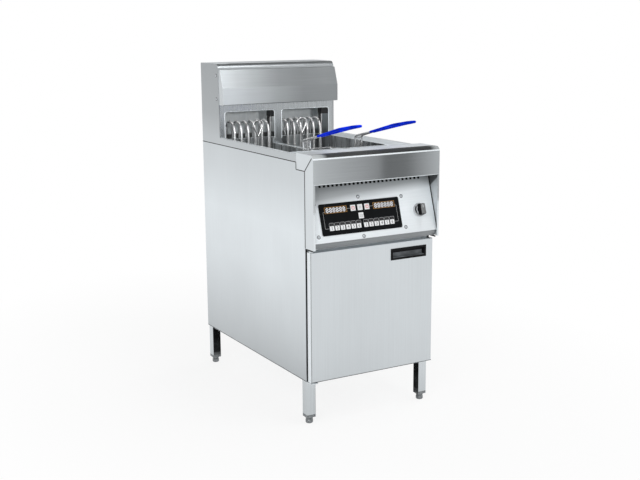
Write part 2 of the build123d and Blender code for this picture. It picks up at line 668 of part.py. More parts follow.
def riser_shell():
    """Rails beside the deck, the riser's sides and its top with a rounded front edge."""
    outline = [
        (Y_RAIL, Z_SEAM + SEAM),
        (Y_RAIL, Z_RAIL),
        (Y_SPLASH, Z_RAIL),
        (Y_SPLASH, Z_TOP),
        (Y_REAR, Z_TOP),
        (Y_REAR, Z_SEAM + SEAM),
    ]
    side = side_outline(outline, -HALF, -INNER, [((Y_SPLASH, Z_TOP), RISER_ROUND)])
    for y, z in hood_screw_places():
        side -= Pos(-HALF, y, z) * Rot(0, -90, 0) * screw_hole()
    line = [(Y_SPLASH, Z_TOP - RISER_LIP), (Y_SPLASH, Z_TOP), (Y_REAR, Z_TOP)]
    shell = bent_sheet(line, RISER_ROUND, -HALF, HALF, Side.RIGHT)
    for piece in both_sides(side):
        shell += piece
    return shell


def splash_panel():
    """Front wall of the riser, with a window over the rear end of each tank."""
    half = INNER - SHEET - FIT
    panel = block(-half, half, Y_SPLASH, Y_SPLASH + SHEET, Z_DECK, Z_TOP - RISER_LIP)
    top = Z_DECK + WINDOW_HEIGHT
    low = Z_DECK - WINDOW_CORNER
    for side in (-1, 1):
        middle = side * (WINDOW_POST + WINDOW_WIDTH) / 2
        face = RectangleRounded(WINDOW_WIDTH, top - low, WINDOW_CORNER)
        place = Pos(middle, Y_SPLASH + THROUGH, (top + low) / 2) * Rot(90, 0, 0)
        panel -= place * extrude(face, amount=2 * THROUGH)
    post = WINDOW_POST / 2
    return panel + block(-post, post, Y_SPLASH, Y_SPLASH + SHEET, Z_DIVIDER + SHEET, Z_DECK)


def hood():
    """Bent hood in front of the riser, closed at its ends and screwed to the riser's sides."""
    low = Z_DECK + HOOD_BOTTOM
    bend = low + HOOD_FACE
    high = bend + HOOD_SLOPE
    front = Y_SPLASH - HOOD_DEPTH
    line = [(Y_SPLASH, low), (front, low), (front, bend), (front + HOOD_LEAN, high), (Y_SPLASH, high)]
    cover = bent_sheet(line, BEND, -INNER, INNER, Side.RIGHT)
    end_face = make_face(FilletPolyline(*line, radius=BEND) + Line(line[-1], line[0]))
    end = extrude(Plane.YZ.offset(-INNER) * end_face, amount=SHEET, dir=(1, 0, 0))
    tail = (Y_SPLASH, Y_SPLASH + HOOD_TAIL, low + HOOD_TAIL_INSET, high - HOOD_TAIL_INSET)
    end += block(-INNER, SHEET - INNER, *tail)
    for y, z in hood_screw_places():
        end -= Pos(-INNER, y, z) * Rot(0, -90, 0) * screw_hole()
    for piece in both_sides(end):
        cover += piece
    return cover


def element_rear_y():
    """Middle of the rear legs of the heating elements."""
    return Y_TANK_REAR + ARCH_SHIFT + ARCH_RADIUS


def heating_element(x0, x1):
    """One hairpin: two arches over the rear rim, joined by a loop on the tank's floor."""
    rear = element_rear_y()
    front = rear - 2 * ARCH_RADIUS
    crown = Z_DECK + ARCH_RISE
    floor = Z_TANK + ELEMENT_FLOOR
    foot = Z_DECK - CLAMP_DROP
    end = Y_TANK + ELEMENT_FRONT_GAP
    down = [(x0, rear, foot), (x0, rear, crown), (x0, front, crown), (x0, front, floor), (x0, end, floor)]
    up = [(x1, y, z) for _, y, z in reversed(down)]
    arch = ARCH_RADIUS - FIT
    loop = (x1 - x0) / 2 - FIT
    radii = [arch, arch, ELEMENT_BEND, loop, loop, ELEMENT_BEND, arch, arch]
    return rod(FilletPolyline(*down, *up, radius=radii), ELEMENT_TUBE)


def element_places(x):
    """The x places of a tank's arches, in pairs."""
    first = x - (ELEMENT_ARCHES - 1) / 2 * ELEMENT_PITCH
    places = [first + number * ELEMENT_PITCH for number in range(ELEMENT_ARCHES)]
    return list(zip(places[::2], places[1::2]))


def heating_elements():
    """Every hairpin of both tanks."""
    return [heating_element(*pair) for x in TANKS.values() for pair in element_places(x)]


def element_clamp(x):
    """Clamp on the back panel that holds the rear legs of a tank's elements."""
    reach = (ELEMENT_ARCHES - 1) / 2 * ELEMENT_PITCH + CLAMP_MARGIN
    rear = element_rear_y()
    depth, height = CLAMP_BLOCK
    top = Z_DECK - CLAMP_DROP
    plate = block(x - reach, x + reach, rear - depth / 2, Y_BACK, top - CLAMP_PLATE, top)
    return plate + block(x - reach, x + reach, rear - depth / 2, rear + depth / 2, top - height, top)


def thermostat_probe(x):
    """Clamp block behind the splash panel with a sleeve and two thin tubes into the tank."""
    wide, deep, tall = PROBE_BLOCK
    y0 = Y_SPLASH + SHEET
    top = Z_DECK + WINDOW_HEIGHT
    sleeve_x = x + TANK_WIDTH / 2 - PROBE_SIDE
    left = sleeve_x - PROBE_SLEEVE / 2
    y = y0 + PROBE_BACK
    probe = block(left, left + wide, y0, y0 + deep, top - tall, top)
    sleeve_foot = top - tall - PROBE_SLEEVE_LENGTH
    probe += Pos(sleeve_x, y, sleeve_foot) * prism(PROBE_SLEEVE, PROBE_SLEEVE_LENGTH)
    end = Z_DECK - PROBE_TUBE_DEPTH
    probe += Pos(sleeve_x, y, end) * prism(PROBE_TUBE, sleeve_foot - end, WIRE_SIDES)
    beside = Pos(sleeve_x + PROBE_TUBE_GAP, y, end)
    return probe + beside * prism(PROBE_TUBE, top - tall - end, WIRE_SIDES)


def rack(x, hook_x):
    """Wire rack on the tank's ledges: a flat grid, and a hook that rises behind the basket."""
    z = Z_RACK + RACK_ROD / 2
    front = Y_TANK + RACK_FRONT_GAP
    half = RACK_WIDTH / 2
    grid = None
    for side in (-half, half):
        bar = straight_rod((x + side, front, z), (x + side, Y_HOOK + RACK_ROD / 2, z), RACK_ROD)
        grid = bar if grid is None else grid + bar
    for number in range(RACK_CROSS_RODS):
        y = front + RACK_ROD / 2 + number * (Y_HOOK - front - RACK_ROD / 2) / (RACK_CROSS_RODS - 1)
        grid += straight_rod((x - half, y, z), (x + half, y, z), RACK_ROD)
    apex = Z_DECK + HOOK_APEX
    crown = apex + HOOK_HEIGHT
    hook = Pos(0, 0, z) * prism(RACK_ROD, apex + RACK_ROD / 2 - z, WIRE_SIDES)
    corners = [(0, 0, crown), (-HOOK_WIDTH / 2, 0, crown), (0, 0, apex)]
    for piece in both_sides(rod(FilletPolyline(*corners, radius=HOOK_ROUND), RACK_ROD)):
        hook += piece
    return grid + Pos(hook_x, Y_HOOK, 0) * hook


def net(width, height, columns, rows):
    """A flat net with square openings, one holed face given its thickness."""
    face = Rectangle(width, height)
    open_width = (width - NET_STRAND) / columns - NET_STRAND
    open_height = (height - NET_STRAND) / rows - NET_STRAND
    holes = GridLocations(open_width + NET_STRAND, open_height + NET_STRAND, columns, rows)
    return extrude(face - holes * Rectangle(open_width, open_height), amount=NET_THICK)


def basket(x, y, tip_y):
    """Five flat nets, four rim rods, a tongue of net and two handle wires, from the front net at y."""
    half = BASKET_WIDTH / 2
    middle = y + BASKET_LENGTH / 2
    rise = BASKET_HEIGHT - RIM_ROD - NET_THICK
    z = Z_BASKET + NET_THICK + rise / 2
    floor = Pos(x, middle, Z_BASKET) * net(BASKET_WIDTH, BASKET_LENGTH, NET_SHORT_COUNT, NET_LONG_COUNT)
    end = net(BASKET_WIDTH, rise, NET_SHORT_COUNT, NET_ROWS)
    front_net = Pos(x, y + NET_THICK, z) * Rot(90, 0, 0) * end
    rear_net = Pos(x, y + BASKET_LENGTH, z) * Rot(90, 0, 0) * end
    wall = Rot(0, 0, 90) * Rot(90, 0, 0) * net(BASKET_LENGTH - 2 * NET_THICK, rise, NET_LONG_COUNT, NET_ROWS)
    left_net = Pos(x - half, middle, z) * wall
    right_net = Pos(x + half - NET_THICK, middle, z) * wall
    pieces = [floor, front_net, rear_net, left_net, right_net]
    rim_z = Z_RIM - RIM_ROD / 2
    inset = RIM_ROD / 2
    for rim_y in (y + inset, y + BASKET_LENGTH - inset):
        pieces.append(straight_rod((x - half, rim_y, rim_z), (x + half, rim_y, rim_z), RIM_ROD))
    for rim_x in (x - half + inset, x + half - inset):
        run = ((rim_x, y + RIM_ROD, rim_z), (rim_x, y + BASKET_LENGTH - RIM_ROD, rim_z))
        pieces.append(straight_rod(*run, RIM_ROD))
    low = Z_RIM - TONGUE_FOOT
    high = Z_RIM + HANDLE_RISE - TONGUE_DOWN
    tongue = net(HANDLE_SPREAD - HANDLE_WIRE - 2 * FIT, high - low, 1, TONGUE_OPENINGS)
    pieces.append(Pos(x, y, (low + high) / 2) * Rot(90, 0, 0) * tongue)
    for side in (-1, 1):
        pieces += handle_wire(x, side, y, tip_y)
    return pieces


def handle_line(x, side, y, tip_y):
    """Centre line of one handle limb, from the front net up to the grip's closed end."""
    wire_y = y - HANDLE_WIRE / 2
    near = x + side * HANDLE_SPREAD / 2
    end_y = tip_y + GRIP_DIAMETER / 2
    bend = Vector(near, wire_y, Z_RIM + HANDLE_RISE)
    knee = Vector(x + side * GRIP_KNEE / 2, end_y + GRIP_OUTER, bend.Z + GRIP_RISE[0])
    end = Vector(x + side * GRIP_TIP / 2, end_y, knee.Z + GRIP_RISE[1])
    share = GRIP_START / (wire_y - knee.Y)
    waist = Vector(x + side * GRIP_WAIST / 2, wire_y - GRIP_START, bend.Z + share * GRIP_RISE[0])
    lap = waist + (knee - waist).normalized() * GRIP_LAP
    return [Vector(near, wire_y, Z_RIM - HANDLE_FOOT), bend, waist, lap, knee, end]


def handle_wire(x, side, y, tip_y):
    """One handle wire in two pieces: up the front net, and forward to the grip."""
    foot_end, bend, waist, lap = handle_line(x, side, y, tip_y)[:4]
    joint = bend - Vector(0, 0, HANDLE_BEND)
    leg = Pos(*foot_end) * prism(HANDLE_WIRE, joint.Z - foot_end.Z, WIRE_SIDES)
    return [leg, rod(FilletPolyline(joint, bend, waist, lap, radius=HANDLE_BEND), HANDLE_WIRE)]


def grip(x, y, tip_y):
    """Dipped hairpin grip: two limbs that part at a knee and meet at a closed end."""
    limb = handle_line(x, -1, y, tip_y)[3:]
    other = handle_line(x, 1, y, tip_y)[3:]
    radii = [GRIP_SWEEP, GRIP_END_ROUND, GRIP_END_ROUND, GRIP_SWEEP]
    return rod(FilletPolyline(*limb, *reversed(other), radius=radii), GRIP_DIAMETER, GRIP_SIDES)


def pull_place():
    """Left, right, lower and upper edges of the door pull's frame."""
    right = DOOR_HALF - PULL_RIGHT
    top = Z_DOOR_TOP - PULL_DOWN
    return right - PULL_WIDTH, right, top - PULL_HEIGHT, top


def door_skin():
    """Outer sheet of the door with folded edges, holes for the pins and the pull's opening."""
    back = Y_DOOR + DOOR_THICK
    skin = block(-DOOR_HALF, DOOR_HALF, Y_DOOR, back, Z_DOOR, Z_DOOR_TOP)
    skin = fillet(skin.faces().sort_by(Axis.Y)[0].edges(), BEND)
    inside = DOOR_HALF - SHEET
    skin -= block(-inside, inside, Y_DOOR + SHEET, back, Z_DOOR + SHEET, Z_DOOR_TOP - SHEET)
    for z in (Z_DOOR, Z_DOOR_TOP):
        skin -= Pos(PIN_X, PIN_Y, z) * Cylinder(PIN_DIAMETER / 2 + RUNNING_FIT, THROUGH)
    left, right, low, high = pull_place()
    rim = PULL_FRAME
    return skin - block(left + rim, right - rim, Y_DOOR, Y_DOOR + SHEET, low + rim, high - rim)


def door_liner():
    """Inner tray that closes the back of the door."""
    inside = DOOR_HALF - SHEET
    back = Y_DOOR + DOOR_THICK
    return block(-inside, inside, back - SHEET, back, Z_DOOR + SHEET, Z_DOOR_TOP - SHEET)


def door_pull():
    """Recessed cup with a flat frame round its mouth and a sloping floor."""
    left, right, low, high = pull_place()
    frame = block(left, right, Y_DOOR - PULL_PROUD, Y_DOOR, low, high)
    frame = chamfer(frame.faces().sort_by(Axis.Y)[0].edges(), PULL_PROUD / 2)
    rim = PULL_FRAME + FIT
    cup = frame + block(left + rim, right - rim, Y_DOOR, Y_DOOR + PULL_DEPTH, low + rim, high - rim)
    wall = rim + PULL_WALL
    hollow = [
        (Y_DOOR - PULL_PROUD, low + wall),
        (Y_DOOR - PULL_PROUD, high - wall),
        (Y_DOOR + PULL_DEPTH - PULL_WALL, high - wall),
        (Y_DOOR + PULL_DEPTH - PULL_WALL, low + wall + PULL_WALL),
    ]
    return cup - side_outline(hollow, left + wall, right - wall)


def hinge_bracket(z_plate, z_tab, pin_end, collar_end):
    """A pin on a plate that is folded against the cabinet; heights are (low, high) pairs."""
    x0 = PIN_X - PIN_INSET
    plate = block(x0, x0 + BRACKET_WIDTH, Y_DOOR + SHEET, Y_CABINET, *z_plate)
    plate += block(x0 + FRONT_RETURN, x0 + BRACKET_WIDTH, Y_CABINET - BRACKET_TAB, Y_CABINET, *z_tab)
    root = sum(z_plate) / 2
    pin = Pos(PIN_X, PIN_Y, (root + pin_end) / 2) * Cylinder(PIN_DIAMETER / 2, abs(pin_end - root))
    collar = Pos(PIN_X, PIN_Y, min(root, collar_end)) * prism(COLLAR_DIAMETER, abs(collar_end - root))
    return plate + pin + collar


def hinge_pins():
    """The lower and the upper hinge bracket, each with its pin and collar."""
    lower_plate = (Z_BASE - BRACKET_THICK, Z_BASE)
    lower_tab = (Z_BASE - BRACKET_THICK, Z_BASE + BRACKET_TAB_HEIGHT)
    lower = hinge_bracket(lower_plate, lower_tab, Z_DOOR + PIN_LENGTH, Z_DOOR - FIT)
    upper_plate = (Z_HEAD - BRACKET_THICK, Z_HEAD)
    upper_tab = (Z_HEAD - BRACKET_TAB_HEIGHT, Z_HEAD)
    upper = hinge_bracket(upper_plate, upper_tab, Z_DOOR_TOP - PIN_LENGTH, Z_DOOR_TOP + FIT)
    return [lower, upper]


def door_catch():
    """Magnetic catch on the door header."""
    wide, tall = CATCH
    right = DOOR_HALF - CATCH_RIGHT
    top = Z_DOOR_TOP - CATCH_DOWN
    return block(right - wide, right, Y_DOOR + DOOR_THICK + FIT, Y_CABINET, top - tall, top)


def legs():
    """Four square legs, closed at the top and plugged for the foot's stud at the bottom."""
    size = LEG_SIZE
    hollow = size - 2 * LEG_WALL
    low = FOOT_HEIGHT + LEG_PLUG
    high = Z_BASE - LEG_WALL
    pieces = []
    for x, y in foot_places().values():
        leg = block(x - size / 2, x + size / 2, y - size / 2, y + size / 2, FOOT_HEIGHT, Z_BASE)
        leg -= block(x - hollow / 2, x + hollow / 2, y - hollow / 2, y + hollow / 2, low, high)
        pieces.append(leg - Pos(x, y, FOOT_HEIGHT) * prism(FOOT_STUD + 2 * RUNNING_FIT, LEG_PLUG))
    return pieces


def foot_places():
    """Name and (x, y) place of each foot."""
    x = HALF - LEG_INSET - LEG_SIZE / 2
    front = Y_CABINET + LEG_SIZE / 2
    rear = Y_REAR - 2 * LEG_INSET - LEG_SIZE / 2
    return {
        "front_left_foot": (-x, front),
        "front_right_foot": (x, front),
        "rear_left_foot": (-x, rear),
        "rear_right_foot": (x, rear),
    }


def foot(x, y):
    """Levelling foot: a turned base and a threaded stud that runs in the leg's plug."""
    base_height = FOOT_HEIGHT - FIT
    base = prism(FOOT_DIAMETER, base_height)
    ends = base.faces().filter_by(Axis.Z).edges()
    return Pos(x, y, 0) * (chamfer(ends, BEND) + prism(FOOT_STUD, FOOT_STUD_LENGTH + base_height))


def contactors():
    """Contactors on the control tray, each with a narrower upper half."""
    wide, deep, tall = CONTACTOR
    y0 = Y_CABINET + CONTACTOR_BACK
    z0 = Z_TRAY + SHEET
    pieces = []
    for number in range(CONTACTOR_COUNT):
        x = (number - (CONTACTOR_COUNT - 1) / 2) * CONTACTOR_PITCH
        body = block(x - wide / 2, x + wide / 2, y0, y0 + deep, z0, z0 + tall / 2)
        cap = (y0 + CONTACTOR_CAP, y0 + deep - CONTACTOR_CAP, z0 + tall / 2, z0 + tall)
        pieces.append(body + block(x - wide / 2, x + wide / 2, *cap))
    return pieces


def drain_axis_y():
    """Middle of the drain pipes."""
    return Y_TANK + DRAIN_BACK


def valve_z():
    """Middle of the drain valves' bodies."""
    return Z_TANK - DRAIN_NECK - VALVE_BODY[2] / 2


def drain_valve(x):
    """Drain pipe and shut valve under a tank, with the stem that carries the lever."""
    wide, deep, tall = VALVE_BODY
    y = drain_axis_y()
    z = valve_z()
    length = DRAIN_NECK + tall + DRAIN_OUTLET
    pipe = Pos(x, y, Z_TANK - length) * prism(DRAIN_PIPE, length)
    body = Pos(x, y, z) * chamfer(Box(wide, deep, tall).edges().filter_by(Axis.Z), wide / 4)
    boss = Pos(x, y - deep / 2, z) * Rot(90, 0, 0) * prism(VALVE_BOSS, VALVE_BOSS_LENGTH)
    stem_length = VALVE_BOSS_LENGTH + LEVER_THICK + 2 * FIT
    stem_y = y - deep / 2 - stem_length / 2
    stem = Pos(x, stem_y, z) * Rot(90, 0, 0) * Cylinder(VALVE_STEM / 2, stem_length)
    bore = DRAIN_PIPE - 2 * TANK_WALL
    inlet = Pos(x, y, Z_TANK - DRAIN_NECK) * prism(bore, DRAIN_NECK)
    outlet = Pos(x, y, Z_TANK - length) * prism(bore, DRAIN_OUTLET)
    return pipe + body + boss + stem - inlet - outlet


def valve_lever(x):
    """Quarter-turn lever, lying level while its valve is shut."""
    face_y = drain_axis_y() - VALVE_BODY[1] / 2 - VALVE_BOSS_LENGTH - FIT
    arm = Pos(LEVER_LENGTH / 2, 0) * Rectangle(LEVER_LENGTH, LEVER_WIDTH)
    arm = chamfer(arm.vertices().group_by(Axis.X)[-1], LEVER_WIDTH / 3)
    hub = RegularPolygon(LEVER_HUB / 2, ROUND_SIDES)
    plate = arm + hub - Circle(VALVE_STEM / 2 + RUNNING_FIT)
    return Pos(x, face_y, valve_z()) * Rot(90, 0, 0) * extrude(plate, amount=LEVER_THICK)


def terminal_block():
    """Supply terminals on the base pan, in front of the cable gland."""
    wide, deep, tall = TERMINAL_BLOCK
    y0 = Y_REAR - GLAND_FROM_REAR - GLAND_BODY - deep
    z0 = Z_BASE + BASE_SHEET
    body = block(-wide / 2, wide / 2, y0, y0 + deep, z0, z0 + tall)
    for number in range(TERMINAL_POLES):
        x = (number - (TERMINAL_POLES - 1) / 2) * wide / TERMINAL_POLES
        half = TERMINAL_SLOT
        body -= block(x - half, x + half, y0, y0 + deep / 2, z0 + tall / 2, z0 + tall)
    return body


def cable_gland():
    """Cable gland through the base pan, facing down, with its nut inside."""
    y = Y_REAR - GLAND_FROM_REAR
    nut_top = Z_BASE + BASE_SHEET + GLAND_NUT
    hexagon = RegularPolygon(GLAND_BODY / 2, 6)
    body = Pos(0, y, Z_BASE - GLAND_HEIGHT) * extrude(hexagon, amount=GLAND_HEIGHT)
    nut = Pos(0, y, Z_BASE + BASE_SHEET) * extrude(hexagon, amount=GLAND_NUT)
    length = nut_top - Z_BASE
    neck = Pos(0, y, Z_BASE) * prism(GLAND_THREAD, length)
    bore = Pos(0, y, Z_BASE) * Cylinder(GLAND_BORE / 2, 4 * GLAND_HEIGHT)
    return body + neck + nut - bore


def body_nodes():
    """Cabinet, head, deck, riser and what is fixed inside them."""
    left_panel, right_panel = both_sides(side_panel())
    nodes = {
        "left_side_panel": left_panel,
        "right_side_panel": right_panel,
        "base_pan": base_pan(),
        "back_panel": back_panel(),
        "control_tray": control_tray(),
        "front_frame": front_frame(),
        "fascia": fascia(),
        "overlay_plate": overlay_plate(),
        "displays": displays(),
        "circuit_board": circuit_board(),
        "cover_screws": cover_screws(),
        "power_switch": power_switch(),
        "deck": deck(),
        "riser_shell": riser_shell(),
        "splash_panel": splash_panel(),
        "hood": hood(),
        "heating_elements": heating_elements(),
        "element_clamps": [element_clamp(x) for x in TANKS.values()],
        "thermostat_probes": [thermostat_probe(x) for x in TANKS.values()],
        "legs": legs(),
        "hinge_pins": hinge_pins(),
        "door_catch": door_catch(),
        "contactors": contactors(),
        "drain_valves": [drain_valve(x) for x in TANKS.values()],
        "terminal_block": terminal_block(),
        "cable_gland": cable_gland(),
    }
    for side, x in TANKS.items():
        nodes[f"{side}_tank"] = tank(x)
    return nodes


def moving_nodes():
    """Every piece that moves: door, racks, baskets, knob, keys, levers and feet."""
    nodes = {
        "door_skin": door_skin(),
        "door_liner": door_liner(),
        "door_pull": door_pull(),
        "power_knob": power_knob(),
    }
    for number, (side, x) in enumerate(TANKS.items()):
        y = Y_BASKETS[number]
        nodes[f"{side}_rack"] = rack(x, x + HOOK_SHIFT[number])
        tip_y = Y_FRONT - HANDLE_REACH + y - min(Y_BASKETS)
        nodes[f"{side}_basket"] = basket(x, y, tip_y)
        nodes[f"{side}_grip"] = grip(x, y, tip_y)
        nodes[f"{side}_valve_lever"] = valve_lever(x)
    for name, place in overlay_keys().items():
        nodes[name] = key(*place)
    for name, place in foot_places().items():
        nodes[name] = foot(*place)
    return nodes


def main():
    """Build every node and write it as a STEP file."""
    os.makedirs("parts", exist_ok=True)
    for name, shape in {**body_nodes(), **moving_nodes()}.items():
        solids = shape if isinstance(shape, list) else [shape]
        whole = Compound(children=[solid for piece in solids for solid in piece.solids()])
        export_step(whole, f"parts/{name}.step")


main()
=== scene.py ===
import logging
import math
from contextlib import contextmanager
from dataclasses import dataclass
from enum import Enum
from functools import cache
from typing import Callable, Iterator, Sequence

import bpy
from mathutils import Matrix, Vector


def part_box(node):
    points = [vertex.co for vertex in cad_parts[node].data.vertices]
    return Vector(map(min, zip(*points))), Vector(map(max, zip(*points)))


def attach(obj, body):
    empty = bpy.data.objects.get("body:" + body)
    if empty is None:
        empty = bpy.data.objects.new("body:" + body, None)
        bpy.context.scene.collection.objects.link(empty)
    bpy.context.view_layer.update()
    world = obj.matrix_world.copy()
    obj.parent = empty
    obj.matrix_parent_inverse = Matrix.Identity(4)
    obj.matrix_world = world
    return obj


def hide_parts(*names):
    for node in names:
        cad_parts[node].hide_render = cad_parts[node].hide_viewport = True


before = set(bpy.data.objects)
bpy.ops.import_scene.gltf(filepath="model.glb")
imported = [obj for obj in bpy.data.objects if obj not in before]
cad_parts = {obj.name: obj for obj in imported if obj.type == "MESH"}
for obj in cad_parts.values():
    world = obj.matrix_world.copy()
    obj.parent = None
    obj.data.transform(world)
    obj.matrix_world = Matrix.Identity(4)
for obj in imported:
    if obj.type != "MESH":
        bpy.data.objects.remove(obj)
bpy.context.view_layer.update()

MM = 0.001
TINY = 1e-5
LOG = logging.getLogger("deep_fryer")

Piece = bpy.types.Object
Socket = bpy.types.NodeSocket
Colour = tuple[float, float, float]
Ends = tuple[float, float]
Pairs = Sequence[Ends]
Steps = tuple[Ends, ...]
Test = Callable[[Vector, Vector], bool]


# Finishes

WHITE = (1.0, 1.0, 1.0)
RAMP_ENDS = (0.32, 0.68)
NOISE_REACH = (0.3, 0.7)
CLOUDS = (4.0, 4.0, 3.0)
STAINS = (35.0, 35.0, 18.0)
SCUFFS = (420.0, 420.0, 420.0)
MOTTLES = (30.0, 30.0, 30.0)
COARSE, MEDIUM, FINE = 2.0, 3.0, 4.0
BRUSH_DEPTH = 0.2 * MM
SKIN_DEPTH = 0.1 * MM
STEEL_TINT = (0.915, 0.968, 1.0)


class Grain(Enum):
    """Brushing of a sheet: how finely its pattern repeats along X, Y and Z, per metre."""

    ACROSS = (5.0, 700.0, 700.0)
    DEEP = (700.0, 5.0, 700.0)
    UPRIGHT = (700.0, 700.0, 5.0)
    EVEN = (160.0, 160.0, 160.0)
    STREAKED = (30.0, 30.0, 3.0)


@dataclass(frozen=True)
class PaintedLightSweep:
    """Painted light and shade: a change of tone along one direction of a sheet."""

    along: tuple[float, float, float]
    low: float
    high: float
    tones: Steps


class NodeTree:
    """Shading nodes of a material or of the world, added and linked by short calls."""

    def __init__(self, owner: bpy.types.Material | bpy.types.World) -> None:
        """Take up the nodes of a material or of the world.

        Args:
            owner: The material or the world.
        """
        owner.use_nodes = True
        self.nodes = owner.node_tree.nodes
        self.links = owner.node_tree.links

    def feed(self, node: bpy.types.Node, inputs: dict) -> None:
        """Link or set inputs of a node.

        Args:
            node: The node.
            inputs: Socket or constant for each input, by name or number.
        """
        for key, value in inputs.items():
            if isinstance(value, Socket):
                self.links.new(value, node.inputs[key])
            else:
                node.inputs[key].default_value = value

    def add(self, kind: str, inputs: dict | None = None, **settings: str) -> bpy.types.Node:
        """Add a node.

        Args:
            kind: Kind of node.
            inputs: Socket or constant for each input, by name or number.
            settings: Settings of the node.

        Returns:
            The node.
        """
        node = self.nodes.new(kind)
        for name, value in settings.items():
            setattr(node, name, value)
        self.feed(node, inputs or {})
        return node

    def calculate(self, operation: str, first: Socket, second: Socket | float) -> Socket:
        """Result of an operation on two values."""
        return self.add("ShaderNodeMath", {0: first, 1: second}, operation=operation).outputs[0]

    def span(self, value: Socket, reach: Ends, to: Ends = (0.0, 1.0)) -> Socket:
        """A value brought from one range into another.

        Args:
            value: Steering socket.
            reach: Range of the value.
            to: Range of the result.

        Returns:
            The result's socket.
        """
        ends = dict(zip(("From Min", "From Max", "To Min", "To Max"), (*reach, *to)))
        return self.add("ShaderNodeMapRange", {"Value": value, **ends}).outputs["Result"]

    def stops(self, value: Socket, tones: Sequence[tuple[float, float | Colour]]) -> Socket:
        """Colours between set stops, steered by a value from zero to one.

        Args:
            value: Steering socket.
            tones: Place of each stop, with its grey level or colour.

        Returns:
            The colour's socket.
        """
        node = self.add("ShaderNodeValToRGB", {"Fac": value})
        elements = node.color_ramp.elements
        while len(elements) < len(tones):
            elements.new(0.5)
        for element, (place, tone) in zip(elements, tones):
            element.position = place
            element.color = (*((tone,) * 3 if isinstance(tone, float) else tone), 1.0)
        return node.outputs["Color"]

    def blend(
        self,
        share: Socket | float,
        first: Socket,
        second: Socket | Sequence[float],
        how: str = "MULTIPLY",
    ) -> Socket:
        """Two colours as one.

        Args:
            share: How much of the second colour is taken.
            first: First colour.
            second: Second colour.
            how: Kind of blend.

        Returns:
            The colour's socket.
        """
        inputs = {0: share, 6: first, 7: second}
        return self.add("ShaderNodeMix", inputs, data_type="RGBA", blend_type=how).outputs[2]


class Shader(NodeTree):
    """One material under construction, with its surface and its object coordinates."""

    def __init__(self, name: str) -> None:
        """Start a material.

        Args:
            name: Name of the finish.
        """
        self.material = bpy.data.materials.new(name)
        super().__init__(self.material)
        self.surface = self.nodes["Principled BSDF"]
        self.place = self.add("ShaderNodeTexCoord").outputs["Object"]

    def noise(self, scale: Sequence[float], detail: float) -> Socket:
        """Noise on object coordinates.

        Args:
            scale: Repeats per metre along X, Y and Z.
            detail: Octaves of finer noise.

        Returns:
            The noise value's socket.
        """
        mapping = self.add("ShaderNodeMapping", {"Vector": self.place, "Scale": scale})
        inputs = {"Vector": mapping.outputs["Vector"], "Scale": 1.0, "Detail": detail}
        return self.add("ShaderNodeTexNoise", inputs).outputs["Fac"]

    def ramp(self, value: Socket, dark: Colour, light: Colour) -> Socket:
        """Colour between two tones, steered by a noise."""
        return self.stops(value, tuple(zip(RAMP_ENDS, (dark, light))))

    def painted_bands(self, painted_light: PaintedLightSweep) -> Socket:
        """Painted light and shade: grey tones along one direction of the object.

        Args:
            painted_light: Direction, ends and tones of the painted light and shade.

        Returns:
            The colour's socket.
        """
        inputs = {0: self.place, 1: painted_light.along}
        reach = self.add("ShaderNodeVectorMath", inputs, operation="DOT_PRODUCT")
        return self.stops(self.span(reach.outputs["Value"], (painted_light.low, painted_light.high)), painted_light.tones)

    def gloss(self, value: Socket, low: float, high: float) -> Socket:
        """Roughness between two values, steered by a noise."""
        return self.span(value, NOISE_REACH, (low, high))

    def relief(self, height: Socket, strength: float, depth: float) -> Socket:
        """Normal of a fine relief, from its height, its strength and its depth in metres."""
        inputs = {"Height": height, "Strength": strength, "Distance": depth}
        return self.add("ShaderNodeBump", inputs).outputs["Normal"]

    def coat(self, inputs: dict) -> bpy.types.Material:
        """Feed the surface and give the material."""
        self.feed(self.surface, inputs)
        return self.material


def cool(level: float) -> Colour:
    """A grey with the faint blue of stainless steel."""
    return tuple(part * level for part in STEEL_TINT)


def shade(colour: Colour, share: float) -> Colour:
    """A colour made darker or lighter by one factor."""
    return tuple(min(1.0, part * share) for part in colour)


@dataclass(frozen=True)
class BrushedSteel:
    """Sheet steel with a brushed grain, faint clouds and uneven gloss, and painted light and shade
    along one direction where it is given.
    """

    name: str
    colour: Colour
    roughness: float
    grain: Grain
    contrast: float = 0.07
    metallic: float = 1.0
    clouds: float = 0.05
    relief: float = 0.15
    painted_light: PaintedLightSweep | None = None
    shine: float = 0.5

    def build(self) -> bpy.types.Material:
        """Make the material.

        Returns:
            The material.
        """
        shader = Shader(self.name)
        grain = shader.noise(self.grain.value, FINE)
        cloud = shader.noise(CLOUDS, MEDIUM)
        dark, light = (shade(self.colour, 1 + side * self.contrast) for side in (-1, 1))
        wipe = shader.ramp(cloud, (1 - self.clouds,) * 3, WHITE)
        tone = shader.blend(1.0, shader.ramp(grain, dark, light), wipe)
        # Painted light and shade: the tone is multiplied by grey bands along one direction.
        if self.painted_light:
            tone = shader.blend(1.0, tone, shader.painted_bands(self.painted_light))
        spread = self.relief / 3
        return shader.coat({
            "Base Color": tone,
            "Roughness": shader.gloss(grain, self.roughness - spread, self.roughness + spread),
            "Metallic": self.metallic,
            "Specular IOR Level": self.shine,
            "Normal": shader.relief(grain, self.relief, BRUSH_DEPTH),
        })


@dataclass(frozen=True)
class DrawnWire:
    """Bright drawn wire or tube, with faint tarnish along its length."""

    name: str
    colour: Colour
    tarnish: Colour
    roughness: float
    metallic: float = 0.55
    smoother: float = 0.06
    rougher: float = 0.08
    relief: float = 0.06

    def build(self) -> bpy.types.Material:
        """Make the material.

        Returns:
            The material.
        """
        shader = Shader(self.name)
        scuff = shader.noise(SCUFFS, COARSE)
        low, high = self.roughness - self.smoother, self.roughness + self.rougher
        return shader.coat({
            "Base Color": shader.ramp(shader.noise(STAINS, FINE), self.tarnish, self.colour),
            "Roughness": shader.gloss(scuff, low, high),
            "Metallic": self.metallic,
            "Normal": shader.relief(scuff, self.relief, SKIN_DEPTH),
        })


